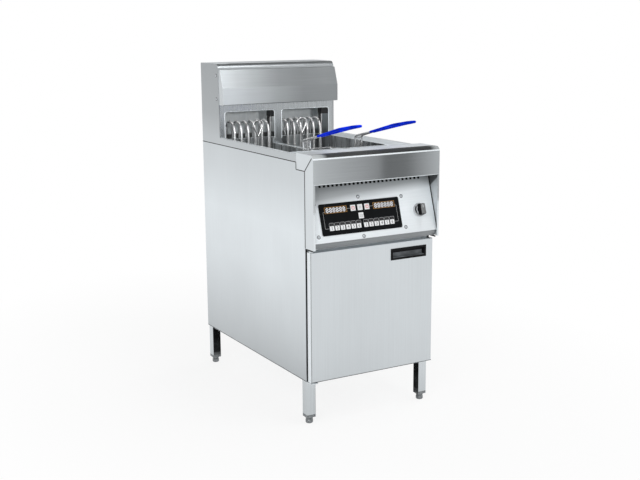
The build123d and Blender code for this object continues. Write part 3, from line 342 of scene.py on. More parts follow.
@dataclass(frozen=True)
class Moulded:
    """Moulded plastic, rubber, paint or print, with a fine surface texture."""

    name: str
    colour: Colour
    roughness: float
    texture: float = 900.0
    relief: float = 0.12
    mottle: float = 0.06
    shine: float = 0.5
    spread: float = 0.05

    def build(self) -> bpy.types.Material:
        """Make the material.

        Returns:
            The material.
        """
        shader = Shader(self.name)
        fine = shader.noise((self.texture,) * 3, MEDIUM)
        broad = shader.noise(MOTTLES, COARSE)
        low, high = self.roughness - self.spread, self.roughness + self.spread
        return shader.coat({
            "Base Color": shader.ramp(broad, shade(self.colour, 1 - self.mottle), self.colour),
            "Roughness": shader.gloss(fine, low, high),
            "Specular IOR Level": self.shine,
            "Normal": shader.relief(fine, self.relief, SKIN_DEPTH),
        })


ACROSS = (1.0, 0.0, 0.0)
DEEP = (0.0, 1.0, 0.0)
UPWARD = (0.0, 0.0, 1.0)
BESIDE_SLOPE = (-0.08, 0.0, 1.0)
ALONG_CHEEK = (0.0, 0.62, 0.78)

# Painted reflection and shade: the side panels darker low down, where they show the shaded floor,
# and a little darker at the top.
SIDE_PAINTED_SHADE = PaintedLightSweep(
    UPWARD, 0.14, 0.80,
    ((0.0, 0.66), (0.23, 0.825), (0.45, 0.955), (0.67, 1.0), (0.89, 0.855), (1.0, 0.81)),
)
# Painted shade: the door darker towards the bottom.
DOOR_PAINTED_SHADE = PaintedLightSweep(UPWARD, 0.14, 0.54, ((0.0, 0.88), (1.0, 1.0)))
# Painted shade: the fascia darker towards its top, under the brow.
FASCIA_PAINTED_SHADE = PaintedLightSweep(
    BESIDE_SLOPE, 0.56, 0.735,
    ((0.0, 0.90), (0.4, 1.0), (0.64, 1.0), (0.80, 0.46), (0.95, 0.30)),
)
# Painted shade on the cheeks' inner faces: dark towards the top, light lower down.
CHEEK_PAINTED_SHADE = PaintedLightSweep(
    ALONG_CHEEK, 0.30, 0.40,
    ((0.0, 1.0), (0.46, 0.72), (0.50, 0.14), (1.0, 0.10)),
)
# Painted reflection: the cap greyer at its left end.
CAP_PAINTED_REFLECTION = PaintedLightSweep(ACROSS, -0.22, 0.22, ((0.0, 0.66), (0.10, 0.66), (0.22, 1.0)))
# Painted reflection: a dark strip along the front of the cap and of the riser's top, lighter at its
# ends.
STRIP_PAINTED_REFLECTION = PaintedLightSweep(
    ACROSS, -0.20, 0.21,
    ((0.0, 1.0), (0.03, 0.8), (0.07, 0.09), (0.95, 0.07), (1.0, 0.6)),
)
# Painted reflection on the hood's slope and upright face: brightest at the left end, darker to the
# right.
HOOD_PAINTED_REFLECTION = PaintedLightSweep(
    ACROSS, -0.22, 0.22,
    ((0.0, 1.0), (0.06, 0.91), (0.13, 0.76), (0.27, 0.60), (0.48, 0.41), (0.69, 0.37), (0.9, 0.41)),
)
HOOD_FACE_PAINTED_REFLECTION = PaintedLightSweep(
    ACROSS, -0.22, 0.22,
    ((0.0, 1.0), (0.06, 0.97), (0.27, 0.755), (0.48, 0.545), (0.69, 0.40), (0.9, 0.40)),
)
# Painted shade: the riser darker towards the top.
RISER_PAINTED_SHADE = PaintedLightSweep(UPWARD, 0.79, 1.05, ((0.0, 1.0), (0.1, 0.96), (0.4, 0.76), (1.0, 0.68)))
# Painted light on the legs' shaded inward faces: lighter near the foot.
LEG_PAINTED_LIGHT = PaintedLightSweep(
    UPWARD, 0.02, 0.135,
    ((0.0, 1.0), (0.14, 1.0), (0.18, 0.3), (0.45, 0.5), (0.6, 0.25), (1.0, 0.2)),
)
# Painted shade: a dark band low on the riser's inner walls at the deck, and darker at the top.
WALL_PAINTED_SHADE = PaintedLightSweep(
    UPWARD, 0.70, 0.90,
    ((0.40, 0.8), (0.45, 0.1), (0.53, 0.1), (0.56, 0.9), (0.85, 1.0), (0.95, 0.85), (1.0, 0.6)),
)

FINISHES = (
    BrushedSteel(
        "side_steel_and_shade", cool(0.88), 0.40, Grain.UPRIGHT, 0.025, relief=0.06, painted_light=SIDE_PAINTED_SHADE
    ),
    BrushedSteel("cheek_steel", cool(0.79), 0.36, Grain.UPRIGHT, 0.03),
    # Painted shade: a darker copy of the cheek steel for the cheeks' inner faces.
    BrushedSteel(
        "cheek_inside_shade", cool(0.70), 0.45, Grain.UPRIGHT, 0.06, metallic=0.4, painted_light=CHEEK_PAINTED_SHADE
    ),
    BrushedSteel(
        "door_steel_and_shade", cool(0.78), 0.38, Grain.UPRIGHT, 0.025, relief=0.06, painted_light=DOOR_PAINTED_SHADE
    ),
    BrushedSteel(
        "fascia_steel_and_shade", cool(0.93), 0.45, Grain.ACROSS, 0.03, metallic=0.2, painted_light=FASCIA_PAINTED_SHADE
    ),
    # Painted shade: a darker copy of the fascia steel for its bent nose.
    BrushedSteel("nose_shade_steel", cool(0.29), 0.36, Grain.ACROSS, 0.20, metallic=0.7),
    BrushedSteel("head_steel", cool(0.83), 0.045, Grain.ACROSS, 0.03, clouds=0.08, relief=0.008),
    BrushedSteel("cap_steel_and_reflection", cool(0.84), 0.45, Grain.ACROSS, 0.04, 0.2, 0.05, 0.05, CAP_PAINTED_REFLECTION),
    # Painted reflection: the finish of the dark strip, patchy like a reflection.
    BrushedSteel(
        "strip_reflection", cool(0.80), 0.50, Grain.ACROSS, 0.30, 0.0, 0.60, 0.05, STRIP_PAINTED_REFLECTION, 0.10
    ),
    # Painted highlight: a brighter copy of the steel for rolled edges, the riser's top, the door's
    # upright edges and the window lips.
    BrushedSteel("edge_highlight", cool(0.90), 0.30, Grain.ACROSS, 0.04, metallic=0.5, relief=0.05),
    BrushedSteel("hood_steel_and_reflection", cool(0.69), 0.34, Grain.ACROSS, 0.05, 0.6, 0.12, 0.08, HOOD_PAINTED_REFLECTION),
    BrushedSteel(
        "hood_face_reflection", cool(0.76), 0.34, Grain.ACROSS, 0.05, 0.6, 0.12, 0.08, HOOD_FACE_PAINTED_REFLECTION
    ),
    BrushedSteel("riser_steel_and_shade", cool(0.62), 0.34, Grain.UPRIGHT, 0.05, painted_light=RISER_PAINTED_SHADE),
    BrushedSteel("back_steel", cool(0.74), 0.40, Grain.UPRIGHT, 0.04),
    BrushedSteel(
        "wall_steel_and_shade", cool(0.97), 0.42, Grain.UPRIGHT, 0.08, metallic=0.05, painted_light=WALL_PAINTED_SHADE
    ),
    BrushedSteel("splash_steel", cool(0.56), 0.28, Grain.UPRIGHT, 0.10),
    BrushedSteel("deck_steel", cool(0.90), 0.34, Grain.DEEP, 0.05, metallic=0.4),
    # Painted shade: the tanks' insides much darker than the deck steel, with strong upright
    # streaks.
    BrushedSteel("tank_steel_and_shade", cool(0.36), 0.28, Grain.STREAKED, 0.65, metallic=0.6, clouds=0.15),
    BrushedSteel("inner_steel", cool(0.78), 0.45, Grain.EVEN, 0.05, metallic=0.35),
    BrushedSteel("leg_steel", cool(0.67), 0.12, Grain.UPRIGHT, 0.05, relief=0.05),
    # Painted shade: a dark copy of the leg steel for the legs' inward faces.
    BrushedSteel(
        "leg_shade", cool(0.20), 0.12, Grain.UPRIGHT, 0.20, relief=0.05, painted_light=LEG_PAINTED_LIGHT
    ),
    BrushedSteel("foot_steel", cool(0.27), 0.16, Grain.EVEN, 0.30),
    BrushedSteel("screw_steel", cool(0.60), 0.20, Grain.EVEN, 0.05, metallic=0.9),
    BrushedSteel("brass", (0.62, 0.45, 0.19), 0.34, Grain.EVEN, 0.08),
    DrawnWire("element_steel", (0.86, 0.87, 0.88), (0.60, 0.60, 0.60), 0.18, 0.70),
    # Painted highlight: a near-white copy of the element steel for the tops of the arches.
    DrawnWire("crown_highlight", (0.96, 0.97, 0.98), (0.90, 0.90, 0.90), 0.22, 0.10),
    DrawnWire("wire_steel", (0.64, 0.65, 0.66), (0.40, 0.40, 0.40), 0.22, 0.75),
    DrawnWire("hook_steel", (0.76, 0.77, 0.78), (0.50, 0.50, 0.50), 0.18, 0.85),
    Moulded("grip_blue", (0.0, 0.028, 0.80), 0.38, 500.0, 0.06, 0.50, shine=0.015),
    Moulded("overlay_black", (0.004, 0.005, 0.006), 0.42, 1400.0, 0.04, 0.3, shine=0.08),
    Moulded("display_glass", (0.020, 0.017, 0.014), 0.20, 700.0, 0.02, 0.3, shine=0.25),
    Moulded("key_white", (0.80, 0.81, 0.82), 0.42, 1100.0, 0.06, 0.05),
    Moulded("board_green", (0.02, 0.16, 0.07), 0.45, 300.0, 0.15, 0.2),
    Moulded("switch_grey", (0.46, 0.48, 0.50), 0.42, 700.0, 0.10, 0.08),
    Moulded("knob_black", (0.004, 0.004, 0.005), 0.40, 600.0, 0.14, 0.2, shine=0.06),
    Moulded("knob_face", (0.22, 0.225, 0.23), 0.45, 160.0, 0.20, 0.5),
    Moulded("probe_black", (0.010, 0.010, 0.011), 0.46, 500.0, 0.16, 0.2, shine=0.3),
    # Painted light: a paler grey for the upturned lower half of the pull's hollow.
    Moulded("pull_lit_grey", (0.19, 0.205, 0.22), 0.50, 800.0, 0.16, 0.6, shine=0.1),
    Moulded("pull_black", (0.008, 0.008, 0.009), 0.44, 800.0, 0.16, 0.2, shine=0.1),
    # Painted shade: black for the beads that stand in for the shadow in the seams and in the door's
    # gap.
    Moulded("seam_shade_black", (0.012, 0.012, 0.013), 0.55, 700.0, 0.20, 0.3, shine=0.2),
    # Painted shade: dark grey for the fine lines at the door's fold and hem, and for the rings
    # under the screws.
    Moulded("shade_line_grey", (0.06, 0.062, 0.065), 0.55, 700.0, 0.20, 0.3, shine=0.2),
    # Painted shade: black for the grommets that darken the vent holes.
    Moulded("vent_shade_black", (0.004, 0.004, 0.004), 0.70, 900.0, 0.30, 0.4, shine=0.1),
    Moulded("inner_plastic", (0.10, 0.10, 0.105), 0.50, 500.0, 0.15, 0.15),
    Moulded("lever_red", (0.55, 0.025, 0.020), 0.40, 500.0, 0.10, 0.15),
    Moulded("print_amber", (0.55, 0.27, 0.05), 0.45, 900.0, 0.04, 0.15),
    Moulded("print_white", (0.86, 0.87, 0.90), 0.45, 900.0, 0.04, 0.08),
    Moulded("print_grey", (0.44, 0.45, 0.46), 0.50, 900.0, 0.04, 0.12),
    Moulded("print_red", (0.66, 0.04, 0.03), 0.45, 900.0, 0.04, 0.12),
    Moulded("print_black", (0.015, 0.015, 0.016), 0.45, 900.0, 0.04, 0.2),
)
FINISH_BY_NAME = {finish.name: finish for finish in FINISHES}


@cache
def material(name: str) -> bpy.types.Material:
    """The material of a finish, made once."""
    return FINISH_BY_NAME[name].build()


# Workshop: modelling by operators


class Pick(Enum):
    """What a selection holds."""

    EDGES = "EDGE"
    FACES = "FACE"


def at_x(x: float, route: Pairs) -> list[Vector]:
    """Corners of a route at one place along X, from places along Y and Z."""
    return [Vector((x, y, z)) for y, z in route]


def at_y(y: float, route: Pairs) -> list[Vector]:
    """Corners of a route at one place along Y, from places along X and Z."""
    return [Vector((x, y, z)) for x, z in route]


def at_z(z: float, route: Pairs) -> list[Vector]:
    """Corners of a route at one height, from places along X and Y."""
    return [Vector((x, y, z)) for x, y in route]


def spread(count: int, pitch: float) -> list[float]:
    """Places of a row about its middle."""
    return [(number - (count - 1) / 2) * pitch for number in range(count)]


def profile(steps: Steps, wide: float, high: float, foot: float = 0.0) -> list[tuple[float, float]]:
    """Diameters and heights of a turned piece, from shares of its width and height."""
    return [(wide * share, foot + high * up) for share, up in steps]


def take_up(*pieces: Piece) -> None:
    """Select only these pieces and make the first one active.

    Args:
        pieces: Pieces, or none.
    """
    if bpy.context.mode != "OBJECT":
        bpy.ops.object.mode_set(mode="OBJECT")
    bpy.ops.object.select_all(action="DESELECT")
    for piece in pieces:
        piece.select_set(True)
    bpy.context.view_layer.objects.active = pieces[0] if pieces else None


@contextmanager
def editing(piece: Piece) -> Iterator[None]:
    """Edit mode on one piece, with all of it selected.

    Args:
        piece: The piece.

    Returns:
        The context.
    """
    take_up(piece)
    bpy.ops.object.mode_set(mode="EDIT")
    bpy.ops.mesh.select_all(action="SELECT")
    yield
    bpy.ops.object.mode_set(mode="OBJECT")


def pick(kind: Pick, test: Test) -> None:
    """Select the edges or faces of the piece in edit mode that pass a test.

    Args:
        kind: Edges, tested by their two ends, or faces, tested by their middle and normal.
        test: The test.
    """
    bpy.ops.mesh.select_mode(type=kind.value)
    bpy.ops.mesh.select_all(action="DESELECT")
    bpy.ops.object.mode_set(mode="OBJECT")
    mesh = bpy.context.object.data
    if kind is Pick.FACES:
        for face in mesh.polygons:
            face.select = test(face.center, face.normal)
    else:
        for edge in mesh.edges:
            edge.select = test(*(mesh.vertices[end].co for end in edge.vertices))
    bpy.ops.object.mode_set(mode="EDIT")


def extrude(by: Sequence[float]) -> None:
    """Draw out what is selected on the piece in edit mode."""
    bpy.ops.mesh.extrude_region_move(TRANSFORM_OT_translate={"value": by})


def score(place: Sequence[float], normal: Sequence[float]) -> None:
    """Mark off the piece in edit mode along a plane."""
    bpy.ops.mesh.select_all(action="SELECT")
    bpy.ops.mesh.bisect(plane_co=place, plane_no=normal)


def face_out() -> None:
    """Turn the faces of the piece in edit mode outwards."""
    bpy.ops.mesh.select_all(action="SELECT")
    bpy.ops.mesh.normals_make_consistent(inside=False)


def modify(piece: Piece, kind: str, **settings: object) -> None:
    """Change a piece by a modifier that is applied.

    Args:
        piece: The piece.
        kind: Kind of modifier.
        settings: Settings of the modifier.
    """
    take_up(piece)
    bpy.ops.object.modifier_add(type=kind)
    modifier = piece.modifiers[-1]
    for name, value in settings.items():
        setattr(modifier, name, value)
    bpy.ops.object.modifier_apply(modifier=modifier.name)


def settle(name: str) -> Piece:
    """Name the active piece and put its place into its mesh.

    Args:
        name: Name of the piece.

    Returns:
        The piece, at the origin, unturned and unscaled.
    """
    piece = bpy.context.object
    piece.name = name
    bpy.ops.object.transform_apply(location=True, rotation=True, scale=True)
    return piece


def blank(name: str, low: Vector, high: Vector) -> Piece:
    """A block between two corners, as a start for a piece.

    Args:
        name: Name of the piece.
        low: Lowest corner.
        high: Highest corner.

    Returns:
        The block.
    """
    take_up()
    bpy.ops.mesh.primitive_cube_add(size=1.0, location=(low + high) / 2)
    bpy.context.object.scale = high - low
    return settle(name)


def ring(
    name: str, place: Vector, direction: Vector, diameter: float, sides: int, fill: str
) -> Piece:
    """A circle square to a direction, as a start for a tube or a turned piece.

    Args:
        name: Name of the piece.
        place: Middle of the circle.
        direction: Its axis.
        diameter: Its diameter.
        sides: Number of its sides.
        fill: NOTHING for an open ring or NGON for a disc.

    Returns:
        The circle.
    """
    take_up()
    turn = direction.to_track_quat("Z", "Y").to_euler()
    bpy.ops.mesh.primitive_circle_add(
        vertices=sides, radius=diameter / 2, fill_type=fill, location=place, rotation=turn
    )
    return settle(name)


def turned(name: str, outline: Pairs, sides: int = 32) -> Piece:
    """A turned piece on the Z axis, from a disc that is drawn up and scaled step by step.

    Args:
        name: Name of the piece.
        outline: Diameter and height of each step, from the bottom up.
        sides: Number of sides.

    Returns:
        The piece.
    """
    diameter, height = outline[0]
    piece = ring(name, Vector((0, 0, height)), Vector(UPWARD), diameter, sides, "NGON")
    with editing(piece):
        for wide, high in outline[1:]:
            extrude((0, 0, high - height))
            share = wide / diameter
            bpy.ops.transform.resize(value=(share, share, 1.0), center_override=(0, 0, high))
            diameter, height = wide, high
        face_out()
    return piece


def put(piece: Piece, place: Matrix) -> Piece:
    """Move a finished piece to its place and apply that to its mesh.

    Args:
        piece: The piece.
        place: Its place.

    Returns:
        The piece.
    """
    piece.matrix_world = place
    take_up(piece)
    return settle(piece.name)


def join(name: str, pieces: Sequence[Piece]) -> Piece:
    """Join pieces into one.

    Args:
        name: Name of the joined piece.
        pieces: Pieces, at least one.

    Returns:
        The joined piece.
    """
    take_up(*pieces)
    if len(pieces) > 1:
        bpy.ops.object.join()
    pieces[0].name = name
    return pieces[0]


def twin(piece: Piece, name: str) -> Piece:
    """A copy of a piece with its own mesh.

    Args:
        piece: The piece.
        name: Name of the copy.

    Returns:
        The copy.
    """
    copy = bpy.data.objects.new(name, piece.data.copy())
    bpy.context.scene.collection.objects.link(copy)
    return copy


def scatter(name: str, pattern: Piece, places: Sequence[Matrix]) -> Piece:
    """Set a copy of a piece at each place and join the copies.

    Args:
        name: Name of the joined piece.
        pattern: Piece to copy, which is used up.
        places: Where the copies go.

    Returns:
        The joined piece.
    """
    copies = [put(twin(pattern, pattern.name), place) for place in places]
    bpy.data.objects.remove(pattern)
    return join(name, copies)


def row(piece: Piece, step: Vector, count: int) -> Piece:
    """Repeat a piece in a straight row, in the same mesh.

    Args:
        piece: Piece to repeat.
        step: From one copy to the next.
        count: Number of copies with the first.

    Returns:
        The piece with its copies.
    """
    modify(
        piece,
        "ARRAY",
        use_relative_offset=False,
        use_constant_offset=True,
        constant_offset_displace=step,
        count=count,
    )
    return piece


def soften(piece: Piece, width: float, segments: int = 2, limit: float = 40.0) -> Piece:
    """Round the sharp edges of a piece and even out its shading.

    Args:
        piece: Piece with merged corners.
        width: Width of the rounding.
        segments: Steps across the rounding.
        limit: Least angle of an edge that is rounded, in degrees.

    Returns:
        The piece.
    """
    modify(
        piece,
        "BEVEL",
        width=width,
        segments=segments,
        limit_method="ANGLE",
        angle_limit=math.radians(limit),
    )
    bpy.ops.object.shade_smooth()
    modify(piece, "WEIGHTED_NORMAL")
    return piece


def smooth(piece: Piece, limit: float = 40.0) -> Piece:
    """Smooth shading, apart from edges sharper than a limit.

    Args:
        piece: The piece.
        limit: The limit in degrees.

    Returns:
        The piece.
    """
    take_up(piece)
    bpy.ops.object.shade_smooth_by_angle(angle=math.radians(limit))
    return piece


def hand_over(piece: Piece, body: str, finish: str, slot: str, *nodes: str) -> None:
    """Dress a finished piece, tie it to its body and let it stand for its nodes.

    Args:
        piece: Finished piece.
        body: Body that carries it.
        finish: Name of its finish.
        slot: Material slot of the record; not used.
        nodes: Nodes that it stands for.
    """
    piece.data.materials.clear()
    piece.data.materials.append(material(finish))
    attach(piece, body)
    if nodes:
        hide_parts(*nodes)
    LOG.info("%s rides on %s, %d faces", piece.name, body, len(piece.data.polygons))


def dress_faces(piece: Piece, finish: str, test: Test) -> None:
    """Give some faces of a dressed piece another finish.

    Args:
        piece: Dressed piece.
        finish: Name of the other finish.
        test: Test of a face's middle and normal.
    """
    piece.data.materials.append(material(finish))
    last = len(piece.data.materials) - 1
    for face in piece.data.polygons:
        if test(face.center, face.normal):
            face.material_index = last


@dataclass
class BentRod:
    """A round rod or tube along straight runs with rounded corners."""

    corners: Sequence[Vector]
    diameter: float
    sides: int = 12
    radii: Sequence[float] = ()
    step: float = 15.0
    closed: bool = False

    def build(self, name: str) -> Piece:
        """Draw a ring along the runs and spin it round the corners.

        Args:
            name: Name of the piece.

        Returns:
            The rod, closed at its ends.
        """
        points = [Vector(corner) for corner in self.corners]
        if self.closed:
            middle = (points[-1] + points[0]) / 2
            points = [middle, *points, middle]
        start = points[0]
        piece = ring(name, start, points[1] - start, self.diameter, self.sides, "NOTHING")
        with editing(piece):
            here = start
            for before, corner, after, radius in zip(points, points[1:], points[2:], self.radii):
                here = self.turn(here, before, corner, after, radius)
            self.draw(points[-1] - here)
            bpy.ops.mesh.select_all(action="SELECT")
            bpy.ops.mesh.remove_doubles(threshold=TINY)
            if not self.closed:
                bpy.ops.mesh.fill_holes(sides=self.sides)
            bpy.ops.mesh.normals_make_consistent(inside=False)
        return smooth(piece)

    @staticmethod
    def draw(run: Vector) -> None:
        """Draw the open ring along a run."""
        if run.length > TINY:
            extrude(run)

    def turn(
        self, here: Vector, before: Vector, corner: Vector, after: Vector, radius: float
    ) -> Vector:
        """Draw the ring up to a corner and spin it round.

        Args:
            here: Where the ring is.
            before: Corner before this one.
            corner: This corner.
            after: Corner after this one.
            radius: Radius of the bend.

        Returns:
            Where the ring is afterwards.
        """
        arrive = (corner - before).normalized()
        leave = (after - corner).normalized()
        turn = arrive.angle(leave)
        reach = radius * math.tan(turn / 2)
        start = corner - arrive * reach
        self.draw(start - here)
        axis = arrive.cross(leave).normalized()
        centre = start + axis.cross(arrive).normalized() * radius
        steps = max(2, round(math.degrees(turn) / self.step))
        bpy.ops.mesh.spin(steps=steps, angle=-turn, center=centre, axis=axis)
        return corner + leave * reach


class Side(Enum):
    """The two halves of the fryer."""

    LEFT = "left"
    RIGHT = "right"

    @property
    def sign(self) -> int:
        """Direction of the half along X."""
        return -1 if self is Side.LEFT else 1


def tank_middle(side: Side) -> float:
    """The x place of a tank's middle."""
    low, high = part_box(f"{side.value}_tank")
    return (low.x + high.x) / 2


@dataclass
class FasciaPlane:
    """The leaning face that carries the controls."""

    foot: Vector = Vector((0.0, -354.5, 563.0)) * MM
    rise: float = 170.0
    lean: float = 53.0

    def at(self, x: float, up: float, out: float) -> Matrix:
        """Place on the face.

        Args:
            x: Across, from the middle of the fryer.
            up: Along the slope, from the lower edge.
            out: Proud of the face.

        Returns:
            A frame with X across, Y up the slope and Z out of the face.
        """
        slope = math.hypot(self.rise, self.lean)
        upward = Vector((0, self.lean / slope, self.rise / slope))
        outward = Vector((0, -self.rise / slope, self.lean / slope))
        across = Vector(ACROSS)
        place = Matrix((across, upward, outward)).transposed().to_4x4()
        place.translation = self.foot + across * x + upward * up + outward * out
        return place


FASCIA = FasciaPlane()


# Cabinet: sheets with softened edges, and nodes that only need a finish

LEVEL = 0.9
SIDEWAYS = 0.8
MERGE = TINY / 5
STRAIGHT = math.radians(0.5)


def looks_to_middle(at: Vector, normal: Vector) -> bool:
    """Whether a face looks sideways towards the middle of the fryer."""
    return normal.x * at.x < -SIDEWAYS * abs(at.x)


def looks_in(at: Vector, normal: Vector) -> bool:
    """Whether a face looks towards the upright middle line of the fryer."""
    return looks_to_middle(at, normal) or normal.y * at.y < -SIDEWAYS * abs(at.y)


@dataclass
class FoldedSheet:
    """A node whose shape stays, as a copy with merged corners and softened edges."""

    node: str
    finish: str
    slot: str
    body: str = "cabinet"
    edge: float = 0.4 * MM
    inside: str = ""

    def __post_init__(self) -> None:
        """Take the sheet's box from its node."""
        self.low, self.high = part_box(self.node)

    def build(self) -> None:
        """Copy the node, shape it, put it in the node's place and dress it."""
        piece = twin(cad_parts[self.node], f"{self.node}_dressed")
        take_up(piece)
        bpy.ops.mesh.customdata_custom_splitnormals_clear()
        with editing(piece):
            bpy.ops.mesh.remove_doubles(threshold=MERGE)
            bpy.ops.mesh.dissolve_limited(angle_limit=STRAIGHT)
        with editing(piece):
            self.shape()
        soften(piece, self.edge)
        hand_over(piece, self.body, self.finish, self.slot, self.node)
        if self.inside:
            dress_faces(piece, self.inside, looks_in)
        for finish, test in self.other_faces():
            dress_faces(piece, finish, test)

    def shape(self) -> None:
        """Change of form in edit mode; none on a plain sheet."""

    def other_faces(self) -> list[tuple[str, Test]]:
        """Finishes that differ from the rest, each with its test; none on a plain sheet."""
        return []


@dataclass
class HeadFrame(FoldedSheet):
    """Brow, cap and cheeks, with rolled corners where the cheeks meet the brow."""

    roll: float = 2.2 * MM
    sheet: float = 1.2 * MM
    strip: float = 34.0 * MM
    brow_round: float = 15.0 * MM
    cheek_share: float = 0.9
    cap_rise: float = 0.95
    strip_rise: float = 0.42
    edge_rise: float = 0.1
    edge_lean: float = -0.2

    def shape(self) -> None:
        """Roll the outer corners of the brow and the cap, and mark off the strip of painted dark
        reflection.
        """
        pick(Pick.EDGES, self.is_outer)
        bpy.ops.mesh.bevel(offset=self.roll, segments=3, clamp_overlap=True)
        score((0, self.low.y + self.strip, 0), DEEP)

    def is_outer(self, a: Vector, b: Vector) -> bool:
        """Whether an edge is an outer corner of the brow or the cap.

        Args:
            a: One end of the edge.
            b: Its other end.

        Returns:
            The answer.
        """
        rear, foot = max(a.y, b.y) - TINY, min(a.z, b.z) + TINY
        at_side = all(abs(abs(end.x) - self.high.x) < TINY for end in (a, b))
        at_front = rear < self.low.y
        over_round = rear < self.low.y + self.brow_round and foot > self.high.z - self.brow_round
        return at_side and (at_front or over_round or foot > self.high.z)

    def other_faces(self) -> list[tuple[str, Test]]:
        """The cap and its strip in painted reflection, its rolled edge in painted highlight, and
        both faces of the cheeks, the inner one in painted shade.

        Returns:
            Finish and test of each.
        """
        strip = self.low.y + self.strip
        inside = self.high.x - self.sheet + TINY
        cheek = self.cheek_share * self.high.x
        # Painted reflection on the cap and its strip, painted highlight on the rolled edge, painted
        # shade on the cheeks' inner faces.
        return [
            ("cap_steel_and_reflection", lambda at, normal: normal.z > self.cap_rise),
            ("strip_reflection", lambda at, normal: normal.z > self.strip_rise and at.y < strip),
            (
                "edge_highlight",
                lambda at, normal: self.edge_rise < normal.z <= self.strip_rise
                and normal.y < self.edge_lean,
            ),
            ("cheek_steel", lambda at, normal: abs(at.x) > inside and abs(normal.x) > SIDEWAYS),
            (
                "cheek_inside_shade",
                lambda at, normal: cheek < abs(at.x) < inside and looks_to_middle(at, normal),
            ),
        ]


@dataclass
class RiserShell(FoldedSheet):
    """Rails, sides and top of the riser, with a strip of painted dark reflection along the front of
    the top.
    """

    strip: float = 45.0 * MM
    sheet: float = 3.0 * MM

    def shape(self) -> None:
        """Mark off the strip."""
        score((0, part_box("hood")[0].y + self.strip, 0), DEEP)

    def other_faces(self) -> list[tuple[str, Test]]:
        """The inner walls in painted shade, the top in painted highlight and the strip on it in
        painted dark reflection.

        Returns:
            Finish and test of each.
        """
        low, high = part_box("hood")
        front = low.y + self.strip

        def on_top(at: Vector, normal: Vector) -> bool:
            """Whether a face is on the riser's top."""
            return normal.z > LEVEL and at.z > self.high.z - self.sheet

        # Painted shade inside, painted highlight on the top, painted dark reflection on its strip.
        return [
            ("wall_steel_and_shade", lambda at, normal: at.y > high.y and looks_in(at, normal)),
            ("edge_highlight", on_top),
            ("strip_reflection", lambda at, normal: on_top(at, normal) and at.y < front),
        ]


@dataclass
class TankShell(FoldedSheet):
    """A tank, painted darker inside as shade and streaked there, and bright round its rim."""

    rim: float = 6.0 * MM
    rise: float = 0.25

    def other_faces(self) -> list[tuple[str, Test]]:
        """The rim, which looks like the deck."""
        top = self.high.z - self.rim
        return [("deck_steel", lambda at, normal: at.z > top and normal.z > self.rise)]


@dataclass
class ControlFascia(FoldedSheet):
    """The leaning control face over its bent nose, which is painted darker as shade."""

    nose: float = 562.5 * MM
    lean: float = -0.3

    def other_faces(self) -> list[tuple[str, Test]]:
        """The nose, in painted shade."""
        return [("nose_shade_steel", lambda at, normal: at.z < self.nose and normal.y < self.lean)]


@dataclass
class BentHood(FoldedSheet):
    """The hood, with its upright lower face given its own painted reflection apart from the slope
    above.
    """

    upright: float = -0.985

    def other_faces(self) -> list[tuple[str, Test]]:
        """The upright face, with its own painted reflection."""
        return [("hood_face_reflection", lambda at, normal: normal.y < self.upright)]


@dataclass
class DoorSkin(FoldedSheet):
    """The door's folded skin, with a painted highlight along its upright edges."""

    def other_faces(self) -> list[tuple[str, Test]]:
        """The upright edges, in painted highlight."""
        side = self.high.x - TINY
        return [("edge_highlight", lambda at, normal: abs(at.x) > side and abs(normal.x) > SIDEWAYS)]


@dataclass
class RoundedPlate(FoldedSheet):
    """A plate whose four corners are rounded."""

    corner: float = 5.0 * MM
    thickest: float = 3.0 * MM

    def shape(self) -> None:
        """Round the four edges that run through the plate."""
        pick(Pick.EDGES, self.runs_through)
        bpy.ops.mesh.bevel(offset=self.corner, segments=6, clamp_overlap=True)

    def runs_through(self, a: Vector, b: Vector) -> bool:
        """Whether an edge at an end of the plate runs through its thickness."""
        at_end = min(a.x - self.low.x, self.high.x - a.x) < TINY
        return at_end and abs(a.x - b.x) < TINY and (a - b).length < self.thickest


@dataclass
class LegTubes(FoldedSheet):
    """Four square legs with drawn edges and a darker lip round the lower end."""

    corner: float = 2.5 * MM
    lip: float = 9.0 * MM

    def shape(self) -> None:
        """Round the long edges of the tubes and mark off the lips."""
        pick(Pick.EDGES, self.is_long)
        bpy.ops.mesh.bevel(offset=self.corner, segments=4, clamp_overlap=True)
        score((0, 0, self.low.z + self.lip), UPWARD)

    def is_long(self, a: Vector, b: Vector) -> bool:
        """Whether an edge runs from the foot to the top of a leg."""
        foot, top = sorted((a.z, b.z))
        return abs(foot - self.low.z) < TINY and abs(top - self.high.z) < TINY

    def other_faces(self) -> list[tuple[str, Test]]:
        """The lips."""
        return [("foot_steel", lambda at, normal: at.z < self.low.z + self.lip)]


@dataclass
class RecessedPull(FoldedSheet):
    """Door pull whose hollow is painted paler in its lower half, as painted light on the faces that
    turn up.
    """

    share: float = 0.56
    proud: float = 3.0 * MM
    tilt: float = 0.5

    @property
    def half(self) -> float:
        """Height of the line between the dark and the paler half."""
        return self.low.z + self.share * (self.high.z - self.low.z)

    def shape(self) -> None:
        """Mark off the lower half."""
        score((0, 0, self.half), UPWARD)

    def other_faces(self) -> list[tuple[str, Test]]:
        """The lower half of the hollow, in painted light."""
        return [("pull_lit_grey", self.is_painted_lit)]

    def is_painted_lit(self, at: Vector, normal: Vector) -> bool:
        """Whether a face lies in the lower half of the hollow and turns up, where light is painted.
        """
        hollow = at.y > self.low.y + self.proud and at.z < self.half
        return hollow and normal.z - normal.y > self.tilt


